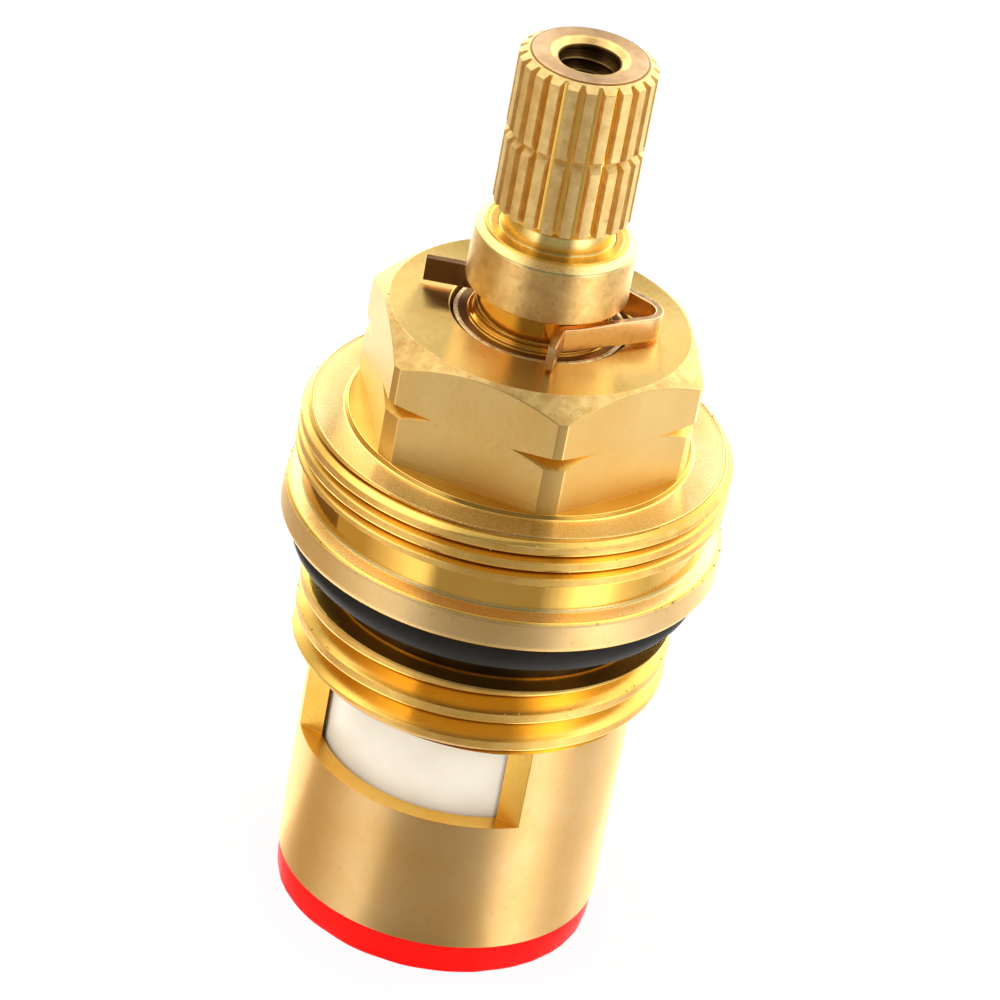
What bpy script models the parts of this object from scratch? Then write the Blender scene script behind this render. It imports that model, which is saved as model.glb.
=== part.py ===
"""Ceramic disc tap cartridge, quarter turn, for a half inch valve seat.

Metres, +Z up along the spindle. The origin is the centre of the seal's underside.
Angles go round +Z from the front, which is -Y, counter-clockwise seen from above.
The tap is shut as modelled: the moving disc's pockets stand across the fixed disc's ports.
"""

from math import acos, cos, degrees, pi, radians, sin, tan

import bmesh
import bpy
from mathutils import Vector

MM = 0.001
STEPS = 72
INNER_STEPS = 40
DRILL_STEPS = 32
BODY_RING_SIDES = 10
SHAFT_RING_SIDES = 8
OVERCUT = 1 * MM

# Clearances
SEAT_GAP = 0.25 * MM
RUNNING_GAP = 0.33 * MM
RING_FIT = 0.17 * MM
CLIP_FIT = 0.10 * MM

# Sleeve and chamber
SLEEVE_RADIUS = 9.16 * MM
SLEEVE_WALL = 1.11 * MM
SLEEVE_LENGTH = 13.4 * MM
WINDOW_TURN = -9.0
WINDOW_CHORD = 5.64 * MM
WINDOW_SILL = 8.0 * MM
WINDOW_HEIGHT = 5.1 * MM
KEYWAY_WIDTH = 3.0 * MM
KEYWAY_DEPTH = 0.6 * MM

# Lower thread, O-ring groove and shoulder ring
LOWER_THREAD_RADIUS = 10.4775 * MM
LOWER_THREAD_LENGTH = 4.7 * MM
LOWER_THREAD_PITCH = 1.814 * MM
LOWER_THREAD_DEPTH = 1.08 * MM
LOWER_CREST_WIDTH = 0.5 * MM
GROOVE_HEIGHT = 3.75 * MM
GROOVE_WALL = 1.15 * MM
BODY_RING_SECTION = 2.1 * MM
RING_RADIUS = 12.28 * MM
RING_HEIGHT = 1.85 * MM
RING_BEVEL = 0.15 * MM

# Upper thread and the flange under the hexagon
UNDERCUT_RADIUS = 11.3 * MM
UNDERCUT_HEIGHT = 2.05 * MM
UPPER_THREAD_RADIUS = 11.97 * MM
UPPER_THREAD_LENGTH = 2.5 * MM
UPPER_THREAD_PITCH = 1.0 * MM
UPPER_THREAD_DEPTH = 0.61 * MM
UPPER_CREST_WIDTH = 0.47 * MM
FLANGE_BEVEL = 0.4 * MM
FOOTING_HEIGHT = 0.27 * MM

# Hexagon
ACROSS_FLATS = 17.0 * MM
HEX_CORNER_RADIUS = 9.70 * MM
HEX_FOOT_RADIUS = 9.5 * MM
HEX_HEIGHT = 6.71 * MM
HEX_CROWN_RADIUS = 8.3 * MM
HEX_CHAMFER = 38.0
NOTCH_RADIUS = 8.8 * MM
NOTCH_TOP = 3.23 * MM
NOTCH_RISE = 0.19 * MM
NOTCH_FALL = 0.61 * MM
BORE_LEAD = 0.15 * MM

# Spindle, from the top down
SPLINE_TEETH = 23
SPLINE_TURN = 23.0
SPLINE_RADIUS = 3.78 * MM
SPLINE_ROOT_RADIUS = 3.38 * MM
SPLINE_LAND = 0.56 * MM
SPLINE_ROOT_LAND = 0.20 * MM
SPLINE_LENGTH = 9.14 * MM
RIM_RADIUS = 3.16 * MM
RIM_CHAMFER_HEIGHT = 0.40 * MM
SPLINE_NOTCH_DROP = 4.8 * MM
SPLINE_NOTCH_HALF = 0.3 * MM
SPLINE_NOTCH_DEPTH = 0.35 * MM
SCREW_HOLE_RADIUS = 1.65 * MM
SCREW_HOLE_DEPTH = 12.0 * MM
COUNTERSINK_RADIUS = 2.1 * MM
NECK_RADIUS = 3.05 * MM
NECK_LENGTH = 1.46 * MM
NECK_COVE = 0.12 * MM
COLLAR_SHELF_RADIUS = 3.85 * MM
COLLAR_BEVEL_HEIGHT = 0.27 * MM
COLLAR_RADIUS = 4.47 * MM
COLLAR_LENGTH = 3.1 * MM
CLIP_GROOVE_RADIUS = 3.7 * MM
SHAFT_STEP_RADIUS = 3.98 * MM
SHAFT_STEP_HEIGHT = 0.20 * MM
SHAFT_RADIUS = 4.77 * MM
SHOULDER_DROP = 0.18 * MM
SHAFT_GROOVE_DEPTH = 1.45 * MM
UPPER_GROOVE_DROP = 2.6 * MM
GROOVE_SPACING = 5.2 * MM
SIDE_GAP = 0.2 * MM

# Foot, stop cam and drive tongue
HUB_RADIUS = 6.0 * MM
FOOT_HEIGHT = 4.4 * MM
LUG_WIDTH = 30.0
LUG_DEPTH = 1.75 * MM
LUG_RISE = 0.8 * MM
TRAVEL = 90.0
STOP_CLEARANCE = 3.0
TONGUE_WIDTH = 4.0 * MM
TONGUE_LENGTH = 11.0 * MM
TONGUE_DEPTH = 2.3 * MM
WASHER_THICKNESS = 1.0 * MM

# Ceramic discs
MOVING_THICKNESS = 6.5 * MM
FIXED_THICKNESS = 4.0 * MM
PORT_ANGLE = 70.0
PORT_INNER_RADIUS = 2.4 * MM
PORT_OUTER_RADIUS = 6.2 * MM
POCKET_HEIGHT = 3.6 * MM
POCKET_TURN = 90.0
LUG_INTO_KEYWAY = 0.55 * MM

# Bottom seal and its support ring
SEAL_RADIUS = 9.05 * MM
SEAL_FLANGE = 1.9 * MM
SEAL_SPIGOT = 3.1 * MM
SEAL_BORE_RADIUS = 5.7 * MM
SUPPORT_WALL = 0.7 * MM
SUPPORT_DROP = 0.5 * MM

# Retaining clip
CLIP_TURN = 106.0
CLIP_LIFT = 0.22 * MM
CLIP_HEIGHT = 1.4 * MM
CLIP_THICKNESS = 0.45 * MM
CLIP_PLAY = 0.43 * MM
CLIP_APEX = 7.13 * MM
CLIP_LOOP_RADIUS = 1.1 * MM
CLIP_FRONT_END = -72.0
CLIP_BACK_END = 163.0
CLIP_BEND = 0.45 * MM
FRONT_EAR = 2.3 * MM
FRONT_EAR_TURN = -98.0
BACK_EAR = 2.8 * MM
BACK_EAR_TURN = 180.0

# Radii that follow from the sizes above
CHAMBER_RADIUS = SLEEVE_RADIUS - SLEEVE_WALL
GROOVE_RADIUS = CHAMBER_RADIUS + GROOVE_WALL
BORE_RADIUS = SHAFT_RADIUS + RUNNING_GAP
DISC_RADIUS = CHAMBER_RADIUS - SEAT_GAP
SHAFT_GROOVE_RADIUS = SHAFT_RADIUS - SHAFT_GROOVE_DEPTH
SHAFT_RING_SECTION = BORE_RADIUS - SHAFT_GROOVE_RADIUS - 2 * RING_FIT
APOTHEM = ACROSS_FLATS / 2
LUG_INNER_RADIUS = CHAMBER_RADIUS - LUG_DEPTH

# Heights of the outside, from the seal's underside up
SLEEVE_BOTTOM = SEAL_FLANGE + SEAT_GAP
THREAD_BOTTOM = SLEEVE_BOTTOM + SLEEVE_LENGTH
GROOVE_BOTTOM = THREAD_BOTTOM + LOWER_THREAD_LENGTH
RING_BOTTOM = GROOVE_BOTTOM + GROOVE_HEIGHT
RING_TOP = RING_BOTTOM + RING_HEIGHT
UNDERCUT_TOP = RING_TOP + UNDERCUT_HEIGHT
FLANGE_TOP = UNDERCUT_TOP + UPPER_THREAD_LENGTH + FLANGE_BEVEL
HEX_BOTTOM = FLANGE_TOP + FOOTING_HEIGHT
HEX_TOP = HEX_BOTTOM + HEX_HEIGHT

# Heights of the stack inside the sleeve
FIXED_BOTTOM = SEAL_FLANGE + SEAL_SPIGOT + SEAT_GAP
MOVING_BOTTOM = FIXED_BOTTOM + FIXED_THICKNESS + SEAT_GAP
FOOT_BOTTOM = MOVING_BOTTOM + MOVING_THICKNESS + SEAT_GAP
FOOT_TOP = FOOT_BOTTOM + FOOT_HEIGHT
WASHER_BOTTOM = FOOT_TOP + SEAT_GAP
CHAMBER_ROOF = WASHER_BOTTOM + WASHER_THICKNESS + SEAT_GAP

# Heights on the spindle
SHOULDER = HEX_TOP - SHOULDER_DROP
CLIP_BOTTOM = HEX_TOP + CLIP_LIFT
COLLAR_BOTTOM = CLIP_BOTTOM + CLIP_HEIGHT + CLIP_PLAY
COLLAR_TOP = COLLAR_BOTTOM + COLLAR_LENGTH
NECK_BOTTOM = COLLAR_TOP + COLLAR_BEVEL_HEIGHT
SPLINE_BOTTOM = NECK_BOTTOM + NECK_LENGTH
SPINDLE_TOP = SPLINE_BOTTOM + SPLINE_LENGTH
UPPER_GROOVE_TOP = SHOULDER - UPPER_GROOVE_DROP
LOWER_GROOVE_TOP = UPPER_GROOVE_TOP - GROOVE_SPACING
SHAFT_GROOVE_WIDTH = SHAFT_RING_SECTION + 2 * SIDE_GAP


def spot(radius, angle, height=0.0):
    """The point at that radius and angle from the front."""
    a = radians(angle)
    return Vector((radius * sin(a), -radius * cos(a), height))


def arc(radius, start, end, step=5.0):
    """Points along an arc about the axis, both ends included."""
    count = max(1, round(abs(end - start) / step))
    return [spot(radius, start + (end - start) * i / count) for i in range(count + 1)]


def finish(name, bm, material=None):
    """Turns the bmesh into a named object with outward faces and smooth round sides."""
    bmesh.ops.remove_doubles(bm, verts=bm.verts, dist=1e-7)
    bmesh.ops.recalc_face_normals(bm, faces=bm.faces)
    mesh = bpy.data.meshes.new(name)
    bm.to_mesh(mesh)
    bm.free()
    mesh.shade_smooth()
    mesh.set_sharp_from_angle(angle=radians(30))
    if material:
        mesh.materials.append(material)
    obj = bpy.data.objects.new(name, mesh)
    bpy.context.scene.collection.objects.link(obj)
    return obj


def turned(name, profile, material=None, steps=STEPS):
    """Spins an outline of (radius, height) points; one that starts and ends on the axis is a solid bar."""
    bm = bmesh.new()
    verts = [bm.verts.new((r, 0, z)) for r, z in profile]
    edges = [bm.edges.new(pair) for pair in zip(verts, verts[1:])]
    if profile[0][0] > 0:
        edges.append(bm.edges.new((verts[-1], verts[0])))
    bmesh.ops.spin(
        bm, geom=verts + edges, cent=(0, 0, 0), axis=(0, 0, 1), angle=2 * pi, steps=steps
    )
    return finish(name, bm, material)


def prism(name, outline, bottom, top, material=None):
    """Extrudes a flat outline from one height to another."""
    bm = bmesh.new()
    face = bm.faces.new([bm.verts.new((p[0], p[1], bottom)) for p in outline])
    raised = bmesh.ops.extrude_face_region(bm, geom=[face])
    moved = [v for v in raised["geom"] if isinstance(v, bmesh.types.BMVert)]
    bmesh.ops.translate(bm, verts=moved, vec=(0, 0, top - bottom))
    return finish(name, bm, material)


def stacked(name, rings, material=None):
    """Joins rings of equally many points into one closed side, with a flat face at each end."""
    bm = bmesh.new()
    loops = [[bm.verts.new(p) for p in ring] for ring in rings]
    count = len(loops[0])
    for low, high in zip(loops, loops[1:]):
        for i in range(count):
            j = (i + 1) % count
            bm.faces.new((low[i], low[j], high[j], high[i]))
    bm.faces.new(loops[0])
    bm.faces.new(loops[-1])
    return finish(name, bm, material)


def tube_ring(name, middle_radius, section, height, material, steps, sides):
    """An O-ring: a circle of that section carried round the axis."""
    profile = [
        (
            middle_radius + section / 2 * cos(2 * pi * i / sides),
            height + section / 2 * sin(2 * pi * i / sides),
        )
        for i in range(sides)
    ]
    return turned(name, profile, material, steps)


def sector(inner, outer, middle, width):
    """The outline of a ring sector."""
    return arc(inner, middle - width / 2, middle + width / 2) + arc(
        outer, middle + width / 2, middle - width / 2
    )


def bar(length_from, length_to, width, angle):
    """A rectangle that runs outward at the angle from one distance to another."""
    out = spot(1, angle)
    side = Vector((-out.y, out.x, 0)) * width / 2
    near, far = out * length_from, out * length_to
    return [near - side, far - side, far + side, near + side]


def cut(obj, cutter):
    """Subtracts the cutter from the object."""
    combine(obj, cutter, "DIFFERENCE")


def join(obj, other):
    """Adds the other shape to the object as one body."""
    combine(obj, other, "UNION")


def combine(obj, other, operation):
    other.hide_render = True
    other.display_type = "WIRE"
    modifier = obj.modifiers.new(other.name, "BOOLEAN")
    modifier.operation = operation
    modifier.solver = "EXACT"
    modifier.object = other


def paint(name, colour, roughness, metallic):
    """A plain material of that colour."""
    material = bpy.data.materials.new(name)
    material.use_nodes = True
    shader = material.node_tree.nodes["Principled BSDF"]
    shader.inputs["Base Color"].default_value = (*colour, 1)
    shader.inputs["Roughness"].default_value = roughness
    shader.inputs["Metallic"].default_value = metallic
    return material


def hollows(top, pitch, crest_width, radius, depth):
    """Two level V grooves that stand for a thread's hollows, the first below a crest at that height."""
    half = (pitch - crest_width) / 2
    points = []
    for turn in range(2):
        middle = top - (turn + 0.5) * pitch
        points += [(radius, middle + half), (radius - depth, middle), (radius, middle - half)]
    return points


def make_housing(brass):
    """Turned body with its hexagon, chamber, windows, keyways and stop lugs."""
    crown_drop = (HEX_CORNER_RADIUS - HEX_CROWN_RADIUS) * tan(radians(HEX_CHAMFER))
    notch_top = HEX_TOP - NOTCH_TOP
    notch_floor = notch_top - NOTCH_RISE
    notch_low = notch_floor - NOTCH_FALL
    upper_hollows = hollows(
        FLANGE_TOP - FLANGE_BEVEL / 2,
        UPPER_THREAD_PITCH,
        UPPER_CREST_WIDTH,
        UPPER_THREAD_RADIUS,
        UPPER_THREAD_DEPTH,
    )
    lower_hollows = hollows(
        GROOVE_BOTTOM,
        LOWER_THREAD_PITCH,
        LOWER_CREST_WIDTH,
        LOWER_THREAD_RADIUS,
        LOWER_THREAD_DEPTH,
    )
    profile = [
        (BORE_RADIUS + BORE_LEAD, HEX_TOP),
        (HEX_CROWN_RADIUS, HEX_TOP),
        (HEX_CORNER_RADIUS, HEX_TOP - crown_drop),
        (HEX_CORNER_RADIUS, notch_top),
        (NOTCH_RADIUS, notch_floor),
        (HEX_FOOT_RADIUS, notch_low),
        (HEX_FOOT_RADIUS, FLANGE_TOP),
        (UPPER_THREAD_RADIUS - 2 * FLANGE_BEVEL, FLANGE_TOP),
        (UPPER_THREAD_RADIUS, FLANGE_TOP - FLANGE_BEVEL),
        *upper_hollows,
        (UPPER_THREAD_RADIUS, UNDERCUT_TOP),
        (UNDERCUT_RADIUS, UNDERCUT_TOP),
        (UNDERCUT_RADIUS, RING_TOP + RING_BEVEL),
        (RING_RADIUS - RING_BEVEL, RING_TOP),
        (RING_RADIUS, RING_TOP - RING_BEVEL),
        (RING_RADIUS, RING_BOTTOM + RING_BEVEL),
        (RING_RADIUS - RING_BEVEL, RING_BOTTOM),
        (GROOVE_RADIUS, RING_BOTTOM),
        (GROOVE_RADIUS, GROOVE_BOTTOM),
        (LOWER_THREAD_RADIUS, GROOVE_BOTTOM),
        *lower_hollows,
        (SLEEVE_RADIUS, THREAD_BOTTOM),
        (SLEEVE_RADIUS, SLEEVE_BOTTOM),
        (CHAMBER_RADIUS, SLEEVE_BOTTOM),
        (CHAMBER_RADIUS, CHAMBER_ROOF),
        (BORE_RADIUS, CHAMBER_ROOF),
        (BORE_RADIUS, HEX_TOP - BORE_LEAD),
    ]
    housing = turned("housing", profile, brass)

    # The flats stop on the round footing, so each leaves a small flat ledge there.
    inside = APOTHEM - OVERCUT
    above = HEX_TOP + OVERCUT
    profile = [(inside, above), (RING_RADIUS, above), (RING_RADIUS, HEX_BOTTOM), (inside, HEX_BOTTOM)]
    mill = turned("hex_cutter", profile)
    corners = [spot(APOTHEM / cos(radians(30)), 30 + 60 * i) for i in range(6)]
    cut(mill, prism("hex_core", corners, HEX_BOTTOM - OVERCUT, above + OVERCUT))
    cut(housing, mill)

    sill = SLEEVE_BOTTOM + WINDOW_SILL
    keyway = CHAMBER_RADIUS + KEYWAY_DEPTH
    for i, side in enumerate((0, 180)):
        slab = bar(WINDOW_CHORD, 2 * SLEEVE_RADIUS, 3 * SLEEVE_RADIUS, WINDOW_TURN + side)
        cut(housing, prism(f"window_cutter_{i}", slab, sill, sill + WINDOW_HEIGHT))
        key = bar(CHAMBER_RADIUS / 2, keyway, KEYWAY_WIDTH, WINDOW_TURN + 90 + side)
        cut(housing, prism(f"keyway_cutter_{i}", key, 0, MOVING_BOTTOM))
        lug = sector(
            LUG_INNER_RADIUS, CHAMBER_RADIUS + SLEEVE_WALL / 3, lug_angle() + side, LUG_WIDTH
        )
        stop = prism(f"stop_lug_{i}", lug, FOOT_BOTTOM + LUG_RISE, CHAMBER_ROOF + OVERCUT)
        join(housing, stop)
    return housing


def lug_angle():
    """Middle of the stop lug that the shut cam rests beside."""
    return WINDOW_TURN - LUG_WIDTH / 2 - STOP_CLEARANCE - cam_width() / 2


def cam_width():
    """Angle that each cam wing fills, so that the lugs leave it just its travel."""
    return 180 - LUG_WIDTH - TRAVEL - 2 * STOP_CLEARANCE


def spline_ring(height, limit):
    """One ring of the splines: flat lands, straight flanks, and nothing beyond the limit radius."""
    pitch = 360 / SPLINE_TEETH
    land = degrees(SPLINE_LAND / 2 / SPLINE_RADIUS)
    root = pitch / 2 - degrees(SPLINE_ROOT_LAND / 2 / SPLINE_ROOT_RADIUS)
    points = []
    for tooth in range(SPLINE_TEETH):
        middle = SPLINE_TURN + tooth * pitch
        for turn, radius in (
            (-root, SPLINE_ROOT_RADIUS),
            (-land, SPLINE_RADIUS),
            (land, SPLINE_RADIUS),
            (root, SPLINE_ROOT_RADIUS),
        ):
            points.append(spot(min(radius, limit), middle + turn, height))
    return points


def make_spindle(brass):
    """Splined head, neck, collar, shaft with its ring grooves, stop cam and drive tongue."""
    profile = [
        (0, SPLINE_BOTTOM + OVERCUT),
        (NECK_RADIUS, SPLINE_BOTTOM + OVERCUT),
        (NECK_RADIUS, NECK_BOTTOM + NECK_COVE),
        (NECK_RADIUS + NECK_COVE * (1 - cos(pi / 4)), NECK_BOTTOM + NECK_COVE * (1 - sin(pi / 4))),
        (NECK_RADIUS + NECK_COVE, NECK_BOTTOM),
        (COLLAR_SHELF_RADIUS, NECK_BOTTOM),
        (COLLAR_RADIUS, COLLAR_TOP),
        (COLLAR_RADIUS, COLLAR_BOTTOM),
        (CLIP_GROOVE_RADIUS, COLLAR_BOTTOM),
        (CLIP_GROOVE_RADIUS, SHOULDER + SHAFT_STEP_HEIGHT),
        (SHAFT_STEP_RADIUS, SHOULDER + SHAFT_STEP_HEIGHT),
        (SHAFT_STEP_RADIUS, SHOULDER),
        (SHAFT_RADIUS, SHOULDER),
    ]
    for top in (UPPER_GROOVE_TOP, LOWER_GROOVE_TOP):
        bottom = top - SHAFT_GROOVE_WIDTH
        profile += [(SHAFT_RADIUS, top), (SHAFT_GROOVE_RADIUS, top)]
        profile += [(SHAFT_GROOVE_RADIUS, bottom), (SHAFT_RADIUS, bottom)]
    foot_middle = (FOOT_BOTTOM + FOOT_TOP) / 2
    profile += [(SHAFT_RADIUS, foot_middle), (0, foot_middle)]
    spindle = turned("spindle", profile, brass, INNER_STEPS)

    rim = SPINDLE_TOP - RIM_CHAMFER_HEIGHT
    fall = RIM_CHAMFER_HEIGHT / (SPLINE_RADIUS - RIM_RADIUS)
    notch = SPINDLE_TOP - SPLINE_NOTCH_DROP
    levels = [
        (SPLINE_BOTTOM, SPLINE_RADIUS),
        (notch - SPLINE_NOTCH_HALF, SPLINE_RADIUS),
        (notch, SPLINE_RADIUS - SPLINE_NOTCH_DEPTH),
        (notch + SPLINE_NOTCH_HALF, SPLINE_RADIUS),
        (rim, SPLINE_RADIUS),
        (rim + fall * (SPLINE_RADIUS - SPLINE_ROOT_RADIUS), SPLINE_ROOT_RADIUS),
        (SPINDLE_TOP, RIM_RADIUS),
    ]
    join(spindle, stacked("spline_head", [spline_ring(z, limit) for z, limit in levels]))

    sink = COUNTERSINK_RADIUS - SCREW_HOLE_RADIUS
    drill = [
        (0, SPINDLE_TOP + OVERCUT),
        (COUNTERSINK_RADIUS + OVERCUT, SPINDLE_TOP + OVERCUT),
        (SCREW_HOLE_RADIUS, SPINDLE_TOP - sink),
        (SCREW_HOLE_RADIUS, SPINDLE_TOP - SCREW_HOLE_DEPTH),
        (0, SPINDLE_TOP - SCREW_HOLE_DEPTH - SCREW_HOLE_RADIUS / 2),
    ]
    cut(spindle, turned("drill", drill, steps=DRILL_STEPS))

    wing = cam_width()
    reach = CHAMBER_RADIUS - RUNNING_GAP
    cam = []
    for side in (0, 180):
        middle = WINDOW_TURN + side
        cam += arc(reach, middle - wing / 2, middle + wing / 2)
        cam += arc(HUB_RADIUS, middle + wing / 2, middle + 180 - wing / 2)
    join(spindle, prism("stop_cam", cam, FOOT_BOTTOM, FOOT_TOP))
    tongue = bar(-TONGUE_LENGTH / 2, TONGUE_LENGTH / 2, TONGUE_WIDTH, WINDOW_TURN)
    join(spindle, prism("drive_tongue", tongue, FOOT_BOTTOM - TONGUE_DEPTH, foot_middle))
    return spindle


def make_moving_disc(ceramic):
    """Upper ceramic disc: a slot on top for the tongue, two pockets open below and at the side."""
    top = MOVING_BOTTOM + MOVING_THICKNESS
    disc = turned(
        "moving_disc",
        [(0, top), (DISC_RADIUS, top), (DISC_RADIUS, MOVING_BOTTOM), (0, MOVING_BOTTOM)],
        ceramic,
    )
    half = TONGUE_LENGTH / 2 + SEAT_GAP
    slot = bar(-half, half, TONGUE_WIDTH + 2 * SEAT_GAP, WINDOW_TURN)
    slot_floor = FOOT_BOTTOM - TONGUE_DEPTH - SEAT_GAP
    cut(disc, prism("tongue_slot", slot, slot_floor, top + OVERCUT))
    for i, side in enumerate((0, 180)):
        pocket = sector(
            PORT_INNER_RADIUS, DISC_RADIUS + OVERCUT, WINDOW_TURN + POCKET_TURN + side, PORT_ANGLE
        )
        low = MOVING_BOTTOM - OVERCUT
        cut(disc, prism(f"pocket_{i}", pocket, low, MOVING_BOTTOM + POCKET_HEIGHT))
    return disc


def make_fixed_disc(ceramic):
    """Lower ceramic disc: two through ports in line with the windows, two lugs in the keyways."""
    top = FIXED_BOTTOM + FIXED_THICKNESS
    disc = turned(
        "fixed_disc",
        [(0, top), (DISC_RADIUS, top), (DISC_RADIUS, FIXED_BOTTOM), (0, FIXED_BOTTOM)],
        ceramic,
    )
    reach = DISC_RADIUS + LUG_INTO_KEYWAY
    lugs = bar(-reach, reach, KEYWAY_WIDTH - 2 * SEAT_GAP, WINDOW_TURN + 90)
    join(disc, prism("key_lugs", lugs, FIXED_BOTTOM + SIDE_GAP, top - SIDE_GAP))
    for i, side in enumerate((0, 180)):
        port = sector(PORT_INNER_RADIUS, PORT_OUTER_RADIUS, WINDOW_TURN + side, PORT_ANGLE)
        cut(disc, prism(f"port_{i}", port, FIXED_BOTTOM - OVERCUT, top + OVERCUT))
    return disc


def make_bottom_seal(silicone):
    """Red seal: a spigot in the sleeve and a flange that presses on the valve seat."""
    spigot = CHAMBER_RADIUS - SEAT_GAP
    top = SEAL_FLANGE + SEAL_SPIGOT
    profile = [
        (SEAL_BORE_RADIUS, top),
        (spigot, top),
        (spigot, SEAL_FLANGE),
        (SEAL_RADIUS, SEAL_FLANGE),
        (SEAL_RADIUS, 0),
        (SEAL_BORE_RADIUS, 0),
    ]
    return turned("bottom_seal", profile, silicone)


def make_support_ring(plastic):
    """Stiff ring inside the seal."""
    outer = SEAL_BORE_RADIUS - SEAT_GAP
    inner = outer - SUPPORT_WALL
    top = SEAL_FLANGE + SEAL_SPIGOT
    profile = [(inner, top), (outer, top), (outer, SUPPORT_DROP), (inner, SUPPORT_DROP)]
    return turned("seal_support_ring", profile, plastic, INNER_STEPS)


def make_thrust_washer(plastic):
    """Flat washer between the foot and the chamber's roof, inside the stop lugs."""
    inner = BORE_RADIUS
    outer = HUB_RADIUS
    top = WASHER_BOTTOM + WASHER_THICKNESS
    profile = [(inner, top), (outer, top), (outer, WASHER_BOTTOM), (inner, WASHER_BOTTOM)]
    return turned("thrust_washer", profile, plastic, INNER_STEPS)


def make_rings(rubber):
    """The O-ring under the shoulder ring, and the two in the spindle's grooves."""
    middle = GROOVE_RADIUS + RING_FIT + BODY_RING_SECTION / 2
    height = RING_BOTTOM - RING_FIT / 2 - BODY_RING_SECTION / 2
    tube_ring("body_o_ring", middle, BODY_RING_SECTION, height, rubber, STEPS, BODY_RING_SIDES)
    middle = (BORE_RADIUS + SHAFT_GROOVE_RADIUS) / 2
    for name, top in (
        ("spindle_o_ring_upper", UPPER_GROOVE_TOP),
        ("spindle_o_ring_lower", LOWER_GROOVE_TOP),
    ):
        height = top - SHAFT_GROOVE_WIDTH / 2
        tube_ring(name, middle, SHAFT_RING_SECTION, height, rubber, INNER_STEPS, SHAFT_RING_SIDES)


def rounded(points, corner, radius, steps=6):
    """The open line of points with one corner turned into an arc."""
    before, here, after = points[corner - 1], points[corner], points[corner + 1]
    back, on = (before - here).normalized(), (after - here).normalized()
    half = back.angle(on) / 2
    reach = radius / tan(half)
    centre = here + (back + on).normalized() * radius / sin(half)
    start, end = here + back * reach - centre, here + on * reach - centre
    bend = [centre + start.slerp(end, i / steps).normalized() * radius for i in range(steps + 1)]
    return points[:corner] + bend + points[corner + 1 :]


def make_clip(copper):
    """Flat strip bent round the spindle's groove, with a spring loop and two ears."""
    wrap = CLIP_GROOVE_RADIUS + CLIP_FIT + CLIP_THICKNESS / 2
    tangent = degrees(acos(wrap / CLIP_APEX))
    front = arc(wrap, CLIP_FRONT_END, -tangent)
    back = arc(wrap, tangent, CLIP_BACK_END, step=9.0)
    front_ear = front[0] + spot(FRONT_EAR, FRONT_EAR_TURN)
    back_ear = back[-1] + spot(BACK_EAR, BACK_EAR_TURN)
    apex = spot(CLIP_APEX, 0)
    line = [front_ear] + front + [apex] + back + [back_ear]
    line = rounded(line, len(line) - 2, CLIP_BEND)
    line = rounded(line, 1 + len(front), CLIP_LOOP_RADIUS, steps=12)
    line = rounded(line, 1, CLIP_BEND)
    sides = []
    for i, point in enumerate(line):
        along = (line[min(i + 1, len(line) - 1)] - line[max(i - 1, 0)]).normalized()
        sides.append(Vector((-along.y, along.x, 0)) * CLIP_THICKNESS / 2)
    outline = [p + s for p, s in zip(line, sides)]
    outline += [p - s for p, s in reversed(list(zip(line, sides)))]
    clip = prism("retaining_clip", outline, CLIP_BOTTOM, CLIP_BOTTOM + CLIP_HEIGHT, copper)
    for vertex in clip.data.vertices:
        flat = Vector((vertex.co.x, vertex.co.y))
        turned_by = radians(CLIP_TURN)
        vertex.co.x = flat.x * cos(turned_by) - flat.y * sin(turned_by)
        vertex.co.y = flat.x * sin(turned_by) + flat.y * cos(turned_by)
    return clip


def build():
    for obj in list(bpy.data.objects):
        bpy.data.objects.remove(obj)
    brass = paint("brass", (0.80, 0.56, 0.20), 0.25, 1.0)
    copper = paint("copper_strip", (0.78, 0.44, 0.24), 0.30, 1.0)
    rubber = paint("black_rubber", (0.012, 0.012, 0.014), 0.45, 0.0)
    silicone = paint("red_silicone", (0.90, 0.03, 0.015), 0.40, 0.0)
    ceramic = paint("white_ceramic", (0.86, 0.83, 0.78), 0.30, 0.0)
    plastic = paint("white_plastic", (0.82, 0.82, 0.80), 0.45, 0.0)
    make_housing(brass)
    make_spindle(brass)
    make_clip(copper)
    make_rings(rubber)
    make_moving_disc(ceramic)
    make_fixed_disc(ceramic)
    make_bottom_seal(silicone)
    make_support_ring(plastic)
    make_thrust_washer(plastic)


build()
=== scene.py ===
import bmesh
import bpy
import numpy as np
from mathutils import Matrix, Vector


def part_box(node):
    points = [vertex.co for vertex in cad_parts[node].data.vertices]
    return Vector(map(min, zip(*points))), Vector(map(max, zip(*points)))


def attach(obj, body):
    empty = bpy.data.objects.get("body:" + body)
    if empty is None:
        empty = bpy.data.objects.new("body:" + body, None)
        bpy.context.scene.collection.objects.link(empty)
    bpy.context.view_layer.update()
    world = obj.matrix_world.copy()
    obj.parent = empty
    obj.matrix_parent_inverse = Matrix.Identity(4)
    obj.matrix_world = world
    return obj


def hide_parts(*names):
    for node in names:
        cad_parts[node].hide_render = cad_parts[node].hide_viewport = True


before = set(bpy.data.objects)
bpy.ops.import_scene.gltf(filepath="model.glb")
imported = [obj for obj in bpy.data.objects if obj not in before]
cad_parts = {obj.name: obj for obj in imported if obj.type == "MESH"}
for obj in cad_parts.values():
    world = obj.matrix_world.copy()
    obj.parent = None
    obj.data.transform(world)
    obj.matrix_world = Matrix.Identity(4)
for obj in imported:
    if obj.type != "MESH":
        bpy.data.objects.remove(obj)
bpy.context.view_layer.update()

mm = 0.001

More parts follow.
